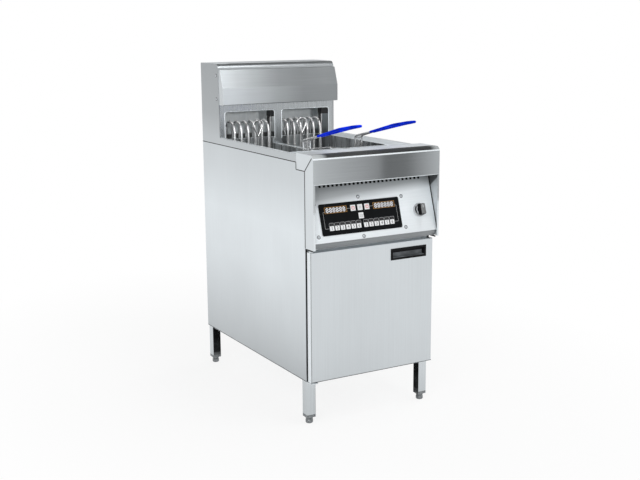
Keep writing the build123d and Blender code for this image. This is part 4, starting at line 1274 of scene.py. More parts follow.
SHEETS = (
    FoldedSheet("left_side_panel", "side_steel_and_shade", "panel_steel", inside="inner_steel"),
    FoldedSheet("right_side_panel", "side_steel_and_shade", "panel_steel", inside="inner_steel"),
    FoldedSheet("back_panel", "back_steel", "panel_steel", inside="wall_steel_and_shade"),
    RiserShell("riser_shell", "riser_steel_and_shade", "panel_steel"),
    FoldedSheet("splash_panel", "splash_steel", "panel_steel"),
    ControlFascia("fascia", "fascia_steel_and_shade", "panel_steel"),
    DoorSkin("door_skin", "door_steel_and_shade", "panel_steel", "door"),
    FoldedSheet("door_liner", "inner_steel", "inner_steel", "door"),
    RecessedPull("door_pull", "pull_black", "pull_black", "door"),
    BentHood("hood", "hood_steel_and_reflection", "head_steel", edge=0.55 * MM),
    FoldedSheet("deck", "deck_steel", "deck_steel"),
    TankShell("left_tank", "tank_steel_and_shade", "deck_steel"),
    TankShell("right_tank", "tank_steel_and_shade", "deck_steel"),
    HeadFrame("front_frame", "head_steel", "head_steel"),
    # Painted shade on the legs' inward faces.
    LegTubes("legs", "leg_steel", "panel_steel", inside="leg_shade"),
    RoundedPlate("overlay_plate", "overlay_black", "overlay_black", edge=0.3 * MM),
)


@dataclass
class SeamShadeBeads:
    """Dark beads of painted shade in the seams of each side, half sunk in the gap, standing in for
    the shadow there.
    """

    bead: float = 3.0 * MM
    sunk: float = 0.5 * MM
    seam: float = 791.0 * MM
    step: float = 769.6 * MM
    cap: float = -257.3 * MM
    cheek: float = -308.3 * MM
    mitre: float = 41.0 * MM
    hem: float = 2.0 * MM
    fold: float = 1.3 * MM
    gap_shade: float = 5.0 * MM
    gap_shade_inset: float = 3.2 * MM
    gap_shade_top: float = 540.8 * MM
    gap_shade_front: float = -346.0 * MM
    joint: tuple[float, float] = (3.0 * MM, 172.0 * MM)
    joint_inset: float = 2.0 * MM
    sides: int = 8
    bend_step: float = 30.0

    def build(self) -> None:
        """Lay the beads of both sides, then the lines of the door."""
        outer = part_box("right_side_panel")[1].x - self.sunk
        for side in Side:
            beads = []
            for inset, route, wide in self.routes():
                corners = at_x(side.sign * (outer - inset), route)
                radii = [self.bead] * (len(corners) - 2)
                rod = BentRod(corners, wide, self.sides, radii, self.bend_step)
                beads.append(rod.build("bead"))
            x = side.sign * (outer - self.joint_inset)
            ends = [FASCIA.at(x, up, 0.0).translation for up in self.joint]
            beads.append(BentRod(ends, self.bead, self.sides).build("bead"))
            # Painted shade: the beads stand in for the shadow in the seams and the door's gap.
            gap_shade = join(f"{side.value}_seam_shade_bead", beads)
            hand_over(gap_shade, "cabinet", "seam_shade_black", "inner_plastic")
        self.door_hem()

    def routes(self) -> list[tuple[float, Pairs, float]]:
        """Beads along the rail, the step and the cheek, along the mitre, the hem and the door.

        Returns:
            Inset from the side, places along Y and Z, and width of each bead.
        """
        low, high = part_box("left_side_panel")
        corner = (self.cheek, self.step)
        rail = [(high.y, self.seam), (self.cap, self.seam), (self.cap, self.step), corner]
        rail.append((self.cheek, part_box("front_frame")[0].z))
        mitre = [corner, (self.cheek - self.mitre, self.step + self.mitre)]
        hem = [(high.y, low.z + self.hem), (low.y, low.z + self.hem)]
        back = low.y - self.hem
        door = [(back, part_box("door_skin")[0].z), (back, self.gap_shade_top)]
        door.append((self.gap_shade_front, self.gap_shade_top))
        return [
            (0.0, rail, self.bead),
            (0.0, mitre, self.bead),
            (0.0, hem, self.hem),
            (self.gap_shade_inset, door, self.gap_shade),
        ]

    def door_hem(self) -> None:
        """Lay the fine dark lines of painted shade at the door's folded edge and at its lower hem.
        """
        low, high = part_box("door_skin")
        fold = low.x + self.fold
        foot = low.z + self.hem
        upright = ((fold, foot), (fold, high.z - self.hem))
        level = ((low.x, foot), (high.x, foot))
        beads = []
        for route, wide in ((upright, self.fold), (level, self.hem)):
            ends = at_y(low.y + self.hem / 4, route)
            beads.append(BentRod(ends, wide, self.sides).build("bead"))
        hand_over(join("door_hem_shade_lines", beads), "door", "shade_line_grey", "inner_plastic")


KEPT_NODES = {
    "inner_steel": ("base_pan", "control_tray", "element_clamps", "hinge_pins"),
    "display_glass": ("displays",),
    "board_green": ("circuit_board",),
    "switch_grey": ("power_switch",),
    "inner_plastic": ("door_catch", "contactors", "terminal_block", "cable_gland"),
    "brass": ("drain_valves",),
    "lever_red": ("left_valve_lever", "right_valve_lever"),
}


def dress_kept_nodes() -> None:
    """Give the nodes that stay as they are their finish."""
    for finish, names in KEPT_NODES.items():
        for name in names:
            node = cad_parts[name]
            if not node.material_slots:
                node.data.materials.append(None)
            for slot in node.material_slots:
                slot.material = material(finish)
            LOG.info("%s keeps its node, in %s", name, finish)


# Riser: window lips, heating elements and probes


@dataclass
class WindowLips:
    """Rolled edges of the two windows in the splash panel, dressed in painted highlight."""

    rod: float = 3.2 * MM
    corner: float = 9.0 * MM
    post: float = 27.0 * MM
    width: float = 186.0 * MM
    sill: float = 802.0 * MM
    height: float = 96.5 * MM
    sides: int = 10

    def build(self) -> None:
        """Bend one lip round each window."""
        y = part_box("splash_panel")[0].y + self.rod / 8
        top = self.sill + self.height
        for side in Side:
            near = side.sign * (self.post / 2)
            far = side.sign * (self.post / 2 + self.width)
            corners = at_y(y, ((near, self.sill), (near, top), (far, top), (far, self.sill)))
            rod = BentRod(corners, self.rod, self.sides, [self.corner] * 2)
            hand_over(rod.build(f"window_lip_{side.value}"), "cabinet", "edge_highlight", "panel_steel")


@dataclass
class HeatingBank:
    """The hairpin elements of one tank, arched over its rear rim."""

    side: Side
    tube: float = 8.0 * MM
    pitch: float = 25.5 * MM
    arches: int = 6
    reach: float = 71.0 * MM
    radius: float = 35.2 * MM
    bend: float = 20.0 * MM
    loop_gap: float = 0.3 * MM
    sides: int = 16
    bend_step: float = 10.0
    tip: float = 8.0 * MM
    tip_rise: float = 0.45

    def build(self) -> None:
        """Bend each hairpin of the bank, and dress the tops of the arches in a painted highlight.
        """
        low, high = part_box("heating_elements")
        half = self.tube / 2
        rear, crown = high.y - half, high.z - half
        end, floor = low.y + half, low.z + half
        front = rear - self.reach
        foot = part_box("element_clamps")[1].z
        down = [(rear, foot), (rear, crown), (front, crown), (front, floor), (end, floor)]
        radii = [self.radius, self.radius, self.bend, self.pitch / 2 - self.loop_gap]
        first = tank_middle(self.side) - (self.arches - 1) / 2 * self.pitch
        pins = []
        for number in range(0, self.arches, 2):
            x = first + number * self.pitch
            corners = at_x(x, down) + at_x(x + self.pitch, down[::-1])
            bends = radii + radii[::-1]
            rod = BentRod(corners, self.tube, self.sides, bends, self.bend_step)
            pins.append(rod.build("hairpin"))
        bank = join(f"{self.side.value}_heating_bank", pins)
        hand_over(bank, "cabinet", "element_steel", "element_steel", "heating_elements")
        # Painted highlight on the upward faces at the tops of the arches.
        top = high.z - self.tip
        dress_faces(
            bank, "crown_highlight", lambda at, normal: at.z > top and normal.z > self.tip_rise
        )


@dataclass
class ThermostatProbes:
    """Clamp block, sleeve and two thin tubes beside each bank."""

    block: Vector = Vector((30.0, 26.0, 23.0)) * MM
    block_round: float = 2.5 * MM
    sleeve: float = 9.0 * MM
    sleeve_length: float = 50.0 * MM
    tube: float = 5.0 * MM
    tube_gap: float = 7.0 * MM
    wall_gap: float = 13.0 * MM
    tank_width: float = 174.0 * MM
    back: float = 20.0 * MM

    def build(self) -> None:
        """Model both probes."""
        low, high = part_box("thermostat_probes")
        y = low.y + self.back
        shoulder = high.z - self.block.z
        foot = shoulder - self.sleeve_length
        for side in Side:
            x = tank_middle(side) + self.tank_width / 2 - self.wall_gap
            base = Vector((x - self.sleeve / 2, low.y, shoulder))
            clamp = soften(blank("clamp", base, base + self.block), self.block_round, 3)
            place = Matrix.Translation((x, y, foot))
            sleeve = put(turned("sleeve", self.sleeve_outline()), place)
            probe = join(f"{side.value}_probe_block", [clamp, smooth(sleeve)])
            hand_over(probe, "cabinet", "probe_black", "probe_black", "thermostat_probes")
            thin = []
            for shift, start in ((0.0, foot + self.sleeve / 2), (self.tube_gap, shoulder)):
                ends = at_x(x + shift, ((y, start), (y, low.z)))
                thin.append(BentRod(ends, self.tube).build("thin_tube"))
            tubes = join(f"{side.value}_probe_tubes", thin)
            hand_over(tubes, "cabinet", "element_steel", "probe_black", "thermostat_probes")

    def sleeve_outline(self) -> list[tuple[float, float]]:
        """Diameter and height of each step of a sleeve, with its rounded foot and its groove.

        Returns:
            The steps, from the foot up.
        """
        foot = ((0.7, 0.0), (0.92, 1.5), (1.0, 4.0))
        groove = ((1.0, -6.0), (0.9, -5.0), (1.0, -4.0), (1.0, 0.0))
        top = self.sleeve_length
        return profile(foot, self.sleeve, MM) + profile(groove, self.sleeve, MM, top)


# Racks, baskets and grips


@dataclass
class LiftRack:
    """Wire rack under a basket, with the hook that rises behind it."""

    side: Side
    hook_shift: float
    rod: float = 6.0 * MM
    cross_rods: int = 6
    hook_width: float = 53.0 * MM
    hook_height: float = 54.0 * MM
    hook_round: float = 15.0 * MM
    hook_sides: int = 16
    hook_step: float = 10.0

    def build(self) -> None:
        """Bend the grid and the hook."""
        node = f"{self.side.value}_rack"
        low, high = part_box(node)
        half = self.rod / 2
        z = low.z + half
        x0, x1 = low.x + half, high.x - half
        y0, y1 = low.y + half, high.y - half
        rods = []
        for x in (x0, x1):
            ends = at_z(z, ((x, low.y), (x, high.y)))
            rods.append(BentRod(ends, self.rod).build("side_rod"))
        first = BentRod(at_z(z, ((x0, y0), (x1, y0))), self.rod).build("cross_rod")
        step = Vector((0, (y1 - y0) / (self.cross_rods - 1), 0))
        rods.append(row(first, step, self.cross_rods))
        hand_over(join(f"{node}_grid", rods), node, "wire_steel", "wire", node)
        x = tank_middle(self.side) + self.hook_shift
        crown = high.z - half
        apex = crown - self.hook_height
        ends = at_y(y1, ((x, z), (x, apex + half)))
        stem = BentRod(ends, self.rod, self.hook_sides).build("stem")
        left, right = x - self.hook_width / 2, x + self.hook_width / 2
        corners = at_y(y1, ((x, apex), (left, crown), (right, crown), (x, apex)))
        bends = [self.hook_round] * 2
        loop = BentRod(corners, self.rod, self.hook_sides, bends, self.hook_step).build("loop")
        hand_over(join(f"{node}_hook", [stem, loop]), node, "hook_steel", "wire", node)


@dataclass
class FryBasket:
    """Wire basket: a woven net on a rim hoop, with two handle wires."""

    side: Side
    length: float = 292.0 * MM
    height: float = 120.0 * MM
    net_wire: float = 1.7 * MM
    net_pitch: float = 9.0 * MM
    net_sides: int = 6
    net_step: float = 30.0
    rim_rod: float = 6.0 * MM
    rim_corner: float = 14.0 * MM
    fold: float = 10.0 * MM
    handle_wire: float = 6.0 * MM
    handle_spread: float = 24.0 * MM
    handle_foot: float = 50.0 * MM
    handle_rise: float = 68.0 * MM
    handle_bend: float = 10.0 * MM
    comb_wire: float = 1.3 * MM
    comb_count: int = 5
    comb_foot: float = 20.0 * MM
    comb_down: float = 6.0 * MM
    grip: float = 7.5 * MM
    grip_waist: float = 11.0 * MM
    grip_start: float = 72.0 * MM
    grip_lap: float = 8.0 * MM
    grip_knee: float = 40.0 * MM
    grip_tip: float = 27.0 * MM
    grip_rise: tuple[float, float] = (53.0 * MM, 13.0 * MM)
    grip_outer: float = 71.0 * MM
    grip_end: float = 13.0 * MM
    grip_sweep: float = 90.0 * MM
    grip_round: float = 1.2 * MM
    grip_sides: int = 20
    grip_step: float = 7.5

    def __post_init__(self) -> None:
        """Take the basket's place from its node."""
        self.node = f"{self.side.value}_basket"
        low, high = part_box(self.node)
        self.x = (low.x + high.x) / 2
        self.half = (high.x - low.x) / 2
        self.rear = high.y
        self.front = high.y - self.length
        self.floor = low.z
        self.rim = low.z + self.height

    def build(self) -> None:
        """Model the net, the rim, the handle wires and the grip."""
        net = self.net()
        rods = [self.rim_hoop(), self.comb()] + [self.wire(hand) for hand in (-1, 1)]
        for name, wires in (("net", net), ("rods", rods)):
            piece = join(f"{self.node}_{name}", wires)
            hand_over(piece, self.node, "wire_steel", "wire", self.node)
        grip = f"{self.side.value}_grip"
        hand_over(self.dipped_grip(), self.node, "grip_blue", "grip_blue", grip)

    def wires(self, corners: Sequence[Vector], step: Vector, length: float) -> Piece:
        """A wire of the net, folded at its corners and repeated over a length.

        Args:
            corners: Corners of the first wire.
            step: From one wire to the next.
            length: What the wires are spread over.

        Returns:
            The wires.
        """
        closed = step.z > 0
        radii = [self.fold] * (4 if closed else 2)
        rod = BentRod(corners, self.net_wire, self.net_sides, radii, self.net_step, closed)
        return row(rod.build("net_wire"), step, self.count(length))

    def count(self, length: float) -> int:
        """Number of wires over a length."""
        return int(length / self.net_pitch) + 1

    def net(self) -> list[Piece]:
        """Wires across and along the floor, folded up the walls, and level hoops round the walls.

        Returns:
            The three sets of wires.
        """
        pitch, inset = self.net_pitch, 1.5 * self.net_wire
        left, right = self.x - (self.half - inset), self.x + (self.half - inset)
        front, rear = self.front + inset, self.rear - inset
        top = self.rim - self.rim_rod
        over, under = self.floor + inset, self.floor + self.net_wire / 2
        long, wide = self.length - 2 * self.fold, 2 * self.half - 2 * self.fold
        x = self.x - (self.count(wide) - 1) * pitch / 2
        y = self.front + (self.length - (self.count(long) - 1) * pitch) / 2
        z = self.floor + self.fold
        across = at_y(y, ((left, top), (left, over), (right, over), (right, top)))
        along = at_x(x, ((front, top), (front, under), (rear, under), (rear, top)))
        return [
            self.wires(across, Vector((0, pitch, 0)), long),
            self.wires(along, Vector((pitch, 0, 0)), wide),
            self.wires(self.outline(self.net_wire / 2, z), Vector((0, 0, pitch)), top - z),
        ]

    def outline(self, inset: float, z: float) -> list[Vector]:
        """Corners of the basket's outline.

        Args:
            inset: How far it is drawn in.
            z: Its height.

        Returns:
            The corners.
        """
        left, right = self.x - (self.half - inset), self.x + (self.half - inset)
        front, rear = self.front + inset, self.rear - inset
        return at_z(z, ((right, front), (right, rear), (left, rear), (left, front)))

    def rim_hoop(self) -> Piece:
        """The rod round the basket's rim.

        Returns:
            The rod.
        """
        corners = self.outline(self.rim_rod / 2, self.rim - self.rim_rod / 2)
        radii = [self.rim_corner] * 4
        return BentRod(corners, self.rim_rod, 14, radii, closed=True).build("rim")

    def comb(self) -> Piece:
        """Fine net between the handle wires: close uprights under a bar, with level wires.

        Returns:
            The net.
        """
        wire = self.comb_wire
        y = self.front - wire / 2
        low = self.rim - self.comb_foot
        high = self.rim + self.handle_rise - self.comb_down
        pitch = (self.handle_spread - self.handle_wire) / self.comb_count
        x = self.x - (self.comb_count - 1) / 2 * pitch
        left, right = self.x - self.handle_spread / 2, self.x + self.handle_spread / 2
        tooth = BentRod(at_y(y, ((x, low), (x, high))), wire, 8).build("tooth")
        level = BentRod(at_y(y + wire, ((left, low), (right, low))), wire, 8).build("level_wire")
        bar = BentRod(at_y(y, ((left, high), (right, high))), 2 * wire, 10).build("bar")
        row(tooth, Vector((pitch, 0, 0)), self.comb_count)
        row(level, Vector((0, 0, self.net_pitch)), self.count(high - low))
        return join("comb", [tooth, level, bar])

    def handle_line(self, hand: int) -> list[Vector]:
        """Corners of one handle limb, from the front net up to the grip's closed end.

        Args:
            hand: Minus one for the left limb or one for the right limb.

        Returns:
            The corners.
        """
        y = self.front - self.handle_wire / 2
        bend = self.rim + self.handle_rise
        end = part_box(f"{self.side.value}_grip")[0].y + self.grip / 2
        near, across, outer, tip = (
            self.x + hand * wide / 2
            for wide in (self.handle_spread, self.grip_waist, self.grip_knee, self.grip_tip)
        )
        knee = Vector((outer, end + self.grip_outer, bend + self.grip_rise[0]))
        closed = Vector((tip, end, knee.z + self.grip_rise[1]))
        share = self.grip_start / (y - knee.y)
        waist = Vector((across, y - self.grip_start, bend + share * self.grip_rise[0]))
        lap = waist + (knee - waist).normalized() * self.grip_lap
        upright = at_x(near, ((y, self.rim - self.handle_foot), (y, bend)))
        return [*upright, waist, lap, knee, closed]

    def wire(self, hand: int) -> Piece:
        """One bare handle wire, up the front net and forward into the grip.

        Args:
            hand: Minus one for the left wire or one for the right wire.

        Returns:
            The wire.
        """
        corners = self.handle_line(hand)[:4]
        corners[-1] = corners[-1] + (corners[-1] - corners[-2]).normalized() * self.grip
        return BentRod(corners, self.handle_wire, 14, [self.handle_bend] * 2).build("handle_wire")

    def dipped_grip(self) -> Piece:
        """The hairpin that is dipped in plastic.

        Returns:
            The grip.
        """
        corners = self.handle_line(-1)[3:] + self.handle_line(1)[:2:-1]
        radii = [self.grip_sweep, self.grip_end, self.grip_end, self.grip_sweep]
        rod = BentRod(corners, self.grip, self.grip_sides, radii, self.grip_step)
        return soften(rod.build(f"{self.side.value}_dipped_grip"), self.grip_round, 3)


# Controls


@dataclass
class CoverScrews:
    """Pan-head screws round the overlay, at the sides of the hood and round the back panel."""

    head: float = 9.0 * MM
    height: float = 2.2 * MM
    dome: Steps = ((1.0, 0.0), (1.0, 0.3), (0.94, 0.55), (0.80, 0.80), (0.55, 0.95), (0.25, 1.0))
    recess: Vector = Vector((0.30, 0.055, 0.5))
    shade_ring: float = 11.5 * MM
    shade_ring_height: float = 0.4 * MM
    shade_ring_steps: Steps = ((1.0, 0.0), (1.0, 0.6), (0.94, 1.0))
    overlay: tuple[float, float] = (-45.5 * MM, 66.3 * MM)
    corner: tuple[float, float] = (151.5 * MM, 47.5 * MM)
    middle: float = 59.0 * MM
    hood_y: float = 289.5 * MM
    hood_z: tuple[float, float] = (941.0 * MM, 1018.0 * MM)
    back_inset: float = 14.0 * MM
    back_rows: int = 4
    crease: float = 35.0

    def build(self) -> None:
        """Model one screw and one dark ring of painted shade under it, and set a copy of them at
        each place.
        """
        places = self.places()
        screws = scatter("pan_head_screws", self.screw(), places)
        hand_over(screws, "cabinet", "screw_steel", "fastener", "cover_screws")
        # Painted shade: a dark ring under each head stands in for its shadow.
        steps = profile(self.shade_ring_steps, self.shade_ring, self.shade_ring_height)
        shade_rings = smooth(scatter("screw_shade_rings", turned("shade_ring", steps), places))
        hand_over(shade_rings, "cabinet", "shade_line_grey", "fastener", "cover_screws")

    def screw(self) -> Piece:
        """A domed head with a cross recess.

        Returns:
            The screw's head, on the origin.
        """
        wide, high = self.head, self.height
        piece = turned("screw_head", profile(self.dome, wide, high))
        long, thin, deep = self.recess.x * wide, self.recess.y * wide, self.recess.z * high
        for x, y in ((long, thin), (thin, long)):
            cutter = blank("recess", Vector((-x, -y, deep)), Vector((x, y, 2 * high)))
            modify(piece, "BOOLEAN", operation="DIFFERENCE", object=cutter)
            bpy.data.objects.remove(cutter)
        return smooth(piece, self.crease)

    def places(self) -> list[Matrix]:
        """Places round the overlay, at both sides of the hood and along the back panel's edges.

        Returns:
            The places.
        """
        x, up = self.overlay
        shifts = [(i * self.corner[0], j * self.corner[1]) for i in (-1, 1) for j in (-1, 1)]
        shifts += [(0, self.middle), (0, -self.middle)]
        places = [FASCIA.at(x + i, up + j, 0.0) for i, j in shifts]
        for side in Side:
            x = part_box("riser_shell")[1].x * side.sign
            turn = Matrix.Rotation(side.sign * math.pi / 2, 4, "Y")
            places += [Matrix.Translation((x, self.hood_y, z)) @ turn for z in self.hood_z]
        low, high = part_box("back_panel")
        turn = Matrix.Rotation(-math.pi / 2, 4, "X")
        tall = high.z - low.z - 2 * self.back_inset
        for x in (low.x + self.back_inset, high.x - self.back_inset):
            for number in range(self.back_rows):
                z = low.z + self.back_inset + number / (self.back_rows - 1) * tall
                places.append(Matrix.Translation((x, high.y, z)) @ turn)
        return places


@dataclass
class VentGrommets:
    """Grommets in the row of vent holes, each with a sunken gauze, all black as painted shade in
    the holes.
    """

    x: float = 5.0 * MM
    up: float = 165.0 * MM
    pitch: float = 14.5 * MM
    count: int = 25
    size: Vector = Vector((7.6, 7.0, 2.0)) * MM
    proud: float = 0.5 * MM
    rim: float = 1.0 * MM
    corner: float = 1.2 * MM
    edge: float = 0.15 * MM

    def build(self) -> None:
        """Model one grommet and repeat it along the row."""
        half = self.size / 2
        lift = Vector((0, 0, self.proud - half.z))
        piece = blank("vent_grommets", lift - half, lift + half)
        with editing(piece):
            pick(Pick.EDGES, lambda a, b: abs(a.z - b.z) > half.z)
            bpy.ops.mesh.bevel(offset=self.corner, segments=3)
            pick(Pick.FACES, lambda at, normal: normal.z > LEVEL)
            bpy.ops.mesh.inset(thickness=self.rim)
            extrude((0, 0, -half.z))
        row(soften(piece, self.edge), Vector((self.pitch, 0, 0)), self.count)
        place = FASCIA.at(self.x - (self.count - 1) / 2 * self.pitch, self.up, 0.0)
        hand_over(put(piece, place), "cabinet", "vent_shade_black", "overlay_black")


@dataclass
class PowerKnob:
    """Rotary knob with a bar grip, a grey face and a pointer, on its base ring."""

    x: float = 163.0 * MM
    up: float = 66.4 * MM
    ring: float = 42.0 * MM
    ring_height: float = 5.0 * MM
    ring_steps: Steps = ((1.0, 0.0), (1.0, 0.5), (0.985, 0.75), (0.95, 0.93), (0.91, 1.0))
    disc: float = 27.0 * MM
    disc_height: float = 4.0 * MM
    disc_steps: Steps = ((0.97, 0.0), (1.0, 0.15), (1.0, 0.6), (0.97, 0.85), (0.90, 1.0))
    sides: int = 48
    gap: float = 0.3 * MM
    bar: Vector = Vector((21.0, 35.0, 15.0)) * MM
    bar_taper: tuple[float, float, float] = (0.80, 0.93, 1.0)
    bar_corner: float = 4.5 * MM
    bar_round: float = 1.2 * MM
    face: tuple[float, float] = (0.36, 0.43)
    face_depth: tuple[float, float] = (-0.1 * MM, 0.3 * MM)
    face_edge: float = 0.25 * MM
    pointer: tuple[float, float] = (0.10, 0.36)
    pointer_half: float = 0.8 * MM
    pointer_depth: tuple[float, float] = (0.1 * MM, 0.45 * MM)
    pointer_edge: float = 0.2 * MM

    def build(self) -> None:
        """Model the base ring, the knob, its face and its pointer."""
        place = FASCIA.at(self.x, self.up, 0.0)
        steps = profile(self.ring_steps, self.ring, self.ring_height)
        base = put(turned("switch_base_ring", steps, self.sides), place)
        hand_over(smooth(base), "cabinet", "switch_grey", "switch_grey")
        foot = self.ring_height + self.gap
        neck = foot + self.disc_height
        steps = profile(self.disc_steps, self.disc, self.disc_height, foot)
        disc = smooth(turned("knob_disc", steps, self.sides))
        knob = put(join("power_knob_dressed", [disc, self.bar_grip(neck)]), place)
        hand_over(knob, "power_knob", "knob_black", "knob_black", "power_knob")
        flat = place.inverted()
        dress_faces(knob, "switch_grey", lambda at, normal: (flat @ at).z < neck)
        top = neck + self.bar.z
        wide, tall = self.bar.x * self.face[0], self.bar.y * self.face[1]
        low, high = (top + depth for depth in self.face_depth)
        face = blank("knob_face", Vector((-wide, -tall, low)), Vector((wide, tall, high)))
        face = put(soften(face, self.face_edge), place)
        hand_over(face, "power_knob", "knob_face", "knob_black")
        ends = zip((-self.pointer_half, self.pointer_half), self.pointer, self.pointer_depth)
        corners = [Vector((x, self.bar.y * y, top + z)) for x, y, z in ends]
        mark = put(soften(blank("knob_pointer", *corners), self.pointer_edge), place)
        hand_over(mark, "power_knob", "print_white", "knob_black")

    def bar_grip(self, foot: float) -> Piece:
        """The bar that is turned between two fingers, narrower towards its top.

        Args:
            foot: Height of its foot.

        Returns:
            The bar.
        """
        half = self.bar / 2
        top = foot + self.bar.z
        bar = blank("knob_bar", Vector((-half.x, -half.y, foot)), Vector((half.x, half.y, top)))
        with editing(bar):
            pick(Pick.FACES, lambda at, normal: normal.z > LEVEL)
            bpy.ops.transform.resize(value=self.bar_taper, center_override=(0, 0, top))
            pick(Pick.EDGES, lambda a, b: abs(a.z - b.z) > half.z)
            bpy.ops.mesh.bevel(offset=self.bar_corner, segments=5)
        return soften(bar, self.bar_round, 3)


class Sign(Enum):
    """Plain signs on the function keys, with the height of each as a share of its reach."""

    POWER = 1.3
    BARS = 0.7
    CLOCK = 0.75


@dataclass
class ControlOverlay:
    """Everything that is printed or set on the black overlay."""

    x: float = -45.5 * MM
    up: float = 66.3 * MM
    face: float = 2.0 * MM
    key_face: float = 2.6 * MM
    key_edge: float = 0.3 * MM
    ink: float = 0.12 * MM
    line: float = 0.9 * MM
    line_sides: int = 6
    line_step: float = 30.0
    display: tuple[float, float] = (75.0 * MM, 18.0 * MM)
    display_x: float = 83.5 * MM
    display_up: float = 27.0 * MM
    display_face: float = 1.6 * MM
    frame_lap: float = 0.4 * MM
    frame_line: float = 1.0 * MM
    digits: int = 6
    digit_size: tuple[float, float] = (6.6 * MM, 12.2 * MM)
    digit_line: float = 3.0 * MM
    digit_trim: float = 0.25
    digit_point: float = 0.42
    digit_margin: float = 0.6
    product_x: float = 58.5 * MM
    product_up: float = -26.5 * MM
    product_pitch: float = 18.5 * MM
    product_key: tuple[float, float] = (14.5 * MM, 13.5 * MM)
    products: int = 6
    numeral: float = 13.0 * MM
    function_pitch: float = 24.2 * MM
    function_up: float = 27.2 * MM
    function_key: float = 18.9 * MM
    lone_up: float = 2.4 * MM
    bracket_out: float = 6.0 * MM
    bracket_bend: float = 1.5 * MM
    tag_height: float = 9.0 * MM
    tag_lap: float = 0.6 * MM
    tag_bend: float = 2.5 * MM
    window: float = 5.0 * MM
    window_foot: float = 0.6 * MM
    window_sides: int = 24
    sign_line: float = 1.4 * MM
    sign_reach: float = 4.2 * MM
    sign_mouth: float = 0.5
    sign_bend: float = 0.49
    clock_hand: float = 0.6

    def build(self) -> None:
        """Model the caps, the prints, the displays' digits and the lamps."""
        self.caps()
        self.display_frames()
        self.display_digits()
        self.lamps()
        self.brackets()
        self.numerals()
        self.signs()

    def spot(self, x: float, up: float, out: float) -> Matrix:
        """Place on the overlay, from its middle."""
        return FASCIA.at(self.x + x, self.up + up, out)

    def product_places(self) -> dict[str, float]:
        """Name of each product key and its place across the overlay.

        Returns:
            Place by name.
        """
        places = {}
        for side in Side:
            for number, shift in enumerate(spread(self.products, self.product_pitch), 1):
                name = f"{side.value}_product_key_{number}"
                places[name] = side.sign * self.product_x + shift
        return places

    def caps(self) -> None:
        """Key caps with softened edges, each on its own body."""
        functions = ["left_heat_key", "menu_key", "right_heat_key", "timer_key"]
        for name in functions + list(self.product_places()):
            FoldedSheet(name, "key_white", "key_white", name, self.key_edge).build()

    def display_frames(self) -> None:
        """Amber outlines round the displays: a plate, its face inset and opened."""
        half = Vector((*(size + self.frame_lap for size in self.display), 0)) / 2
        piece = blank("frame", -half, half + Vector((0, 0, self.ink)))
        with editing(piece):
            pick(Pick.FACES, lambda at, normal: abs(normal.z) > LEVEL)
            bpy.ops.mesh.inset(thickness=self.frame_line, use_individual=True)
            bpy.ops.mesh.bridge_edge_loops()
        middles = [side.sign * self.display_x for side in Side]
        places = [self.spot(x, self.display_up, self.face) for x in middles]
        frames = scatter("display_frames", piece, places)
        hand_over(frames, "cabinet", "print_amber", "overlay_black")

    def digit(self) -> Piece:
        """A seven-stroke digit.

        Returns:
            The digit, about the origin.
        """
        line = self.digit_line
        wide, tall = self.digit_size
        trim = line * self.digit_trim
        flat = Vector((wide / 2 - trim, line / 2, 0))
        upright = Vector((line / 2, tall / 4 - trim, 0))
        bars = [(0.0, y, flat) for y in (tall / 2, 0.0, -tall / 2)]
        bars += [(i * wide / 2, j * tall / 4, upright) for i in (-1, 1) for j in (-1, 1)]
        strokes = []
        for x, y, half in bars:
            middle = Vector((x, y, 0))
            bar = blank("stroke", middle - half, middle + half + Vector((0, 0, self.ink)))
            with editing(bar):
                pick(Pick.EDGES, lambda a, b: abs(a.z - b.z) > self.ink / 2)
                bpy.ops.mesh.bevel(offset=line * self.digit_point, segments=1)
            strokes.append(bar)
        return join("digit", strokes)

    def display_digits(self) -> None:
        """The digits of both displays."""
        pitch = self.display[0] / (self.digits + self.digit_margin)
        places = []
        for side in Side:
            for shift in spread(self.digits, pitch):
                x = side.sign * self.display_x + shift
                places.append(self.spot(x, self.display_up, self.display_face))
        digits = scatter("display_digits", self.digit(), places)
        hand_over(digits, "cabinet", "print_white", "display_glass")

    def lamps(self) -> None:
        """An arched lamp window in a thin outlined tag over each product key."""
        up = self.product_up + self.product_key[1] / 2
        places = [self.spot(x, up, self.face) for x in self.product_places().values()]
        outlines = scatter("lamp_outlines", self.tag(), places)
        hand_over(outlines, "cabinet", "print_grey", "overlay_black")
        windows = scatter("lamp_windows", self.arch(), places)
        hand_over(windows, "cabinet", "print_black", "overlay_black")

    def tag(self) -> Piece:
        """The thin outline round one lamp, open at its foot.

        Returns:
            The outline, with its foot on the X axis.
        """
        half, top = self.product_key[0] / 2 + self.tag_lap, self.tag_height
        corners = at_z(0, ((-half, 0.0), (-half, top), (half, top), (half, 0.0)))
        bends = [self.tag_bend] * 2
        return BentRod(corners, self.line, self.line_sides, bends, self.line_step).build("tag")

    def arch(self) -> Piece:
        """A lamp window: a flat plate with a straight foot and a round top.

        Returns:
            The plate, with its foot on the X axis.
        """
        radius = self.window
        middle = Vector((0, radius, 0))
        piece = ring("window", middle, Vector(UPWARD), 2 * radius, self.window_sides, "NGON")
        with editing(piece):
            bpy.ops.mesh.bisect(plane_co=middle, plane_no=DEEP, clear_inner=True, use_fill=False)
            pick(Pick.EDGES, lambda a, b: max(a.y, b.y) < radius + TINY)
            extrude((0, -radius + self.window_foot, 0))
            bpy.ops.mesh.select_all(action="SELECT")
            extrude((0, 0, 2 * self.ink))
            face_out()
        return piece

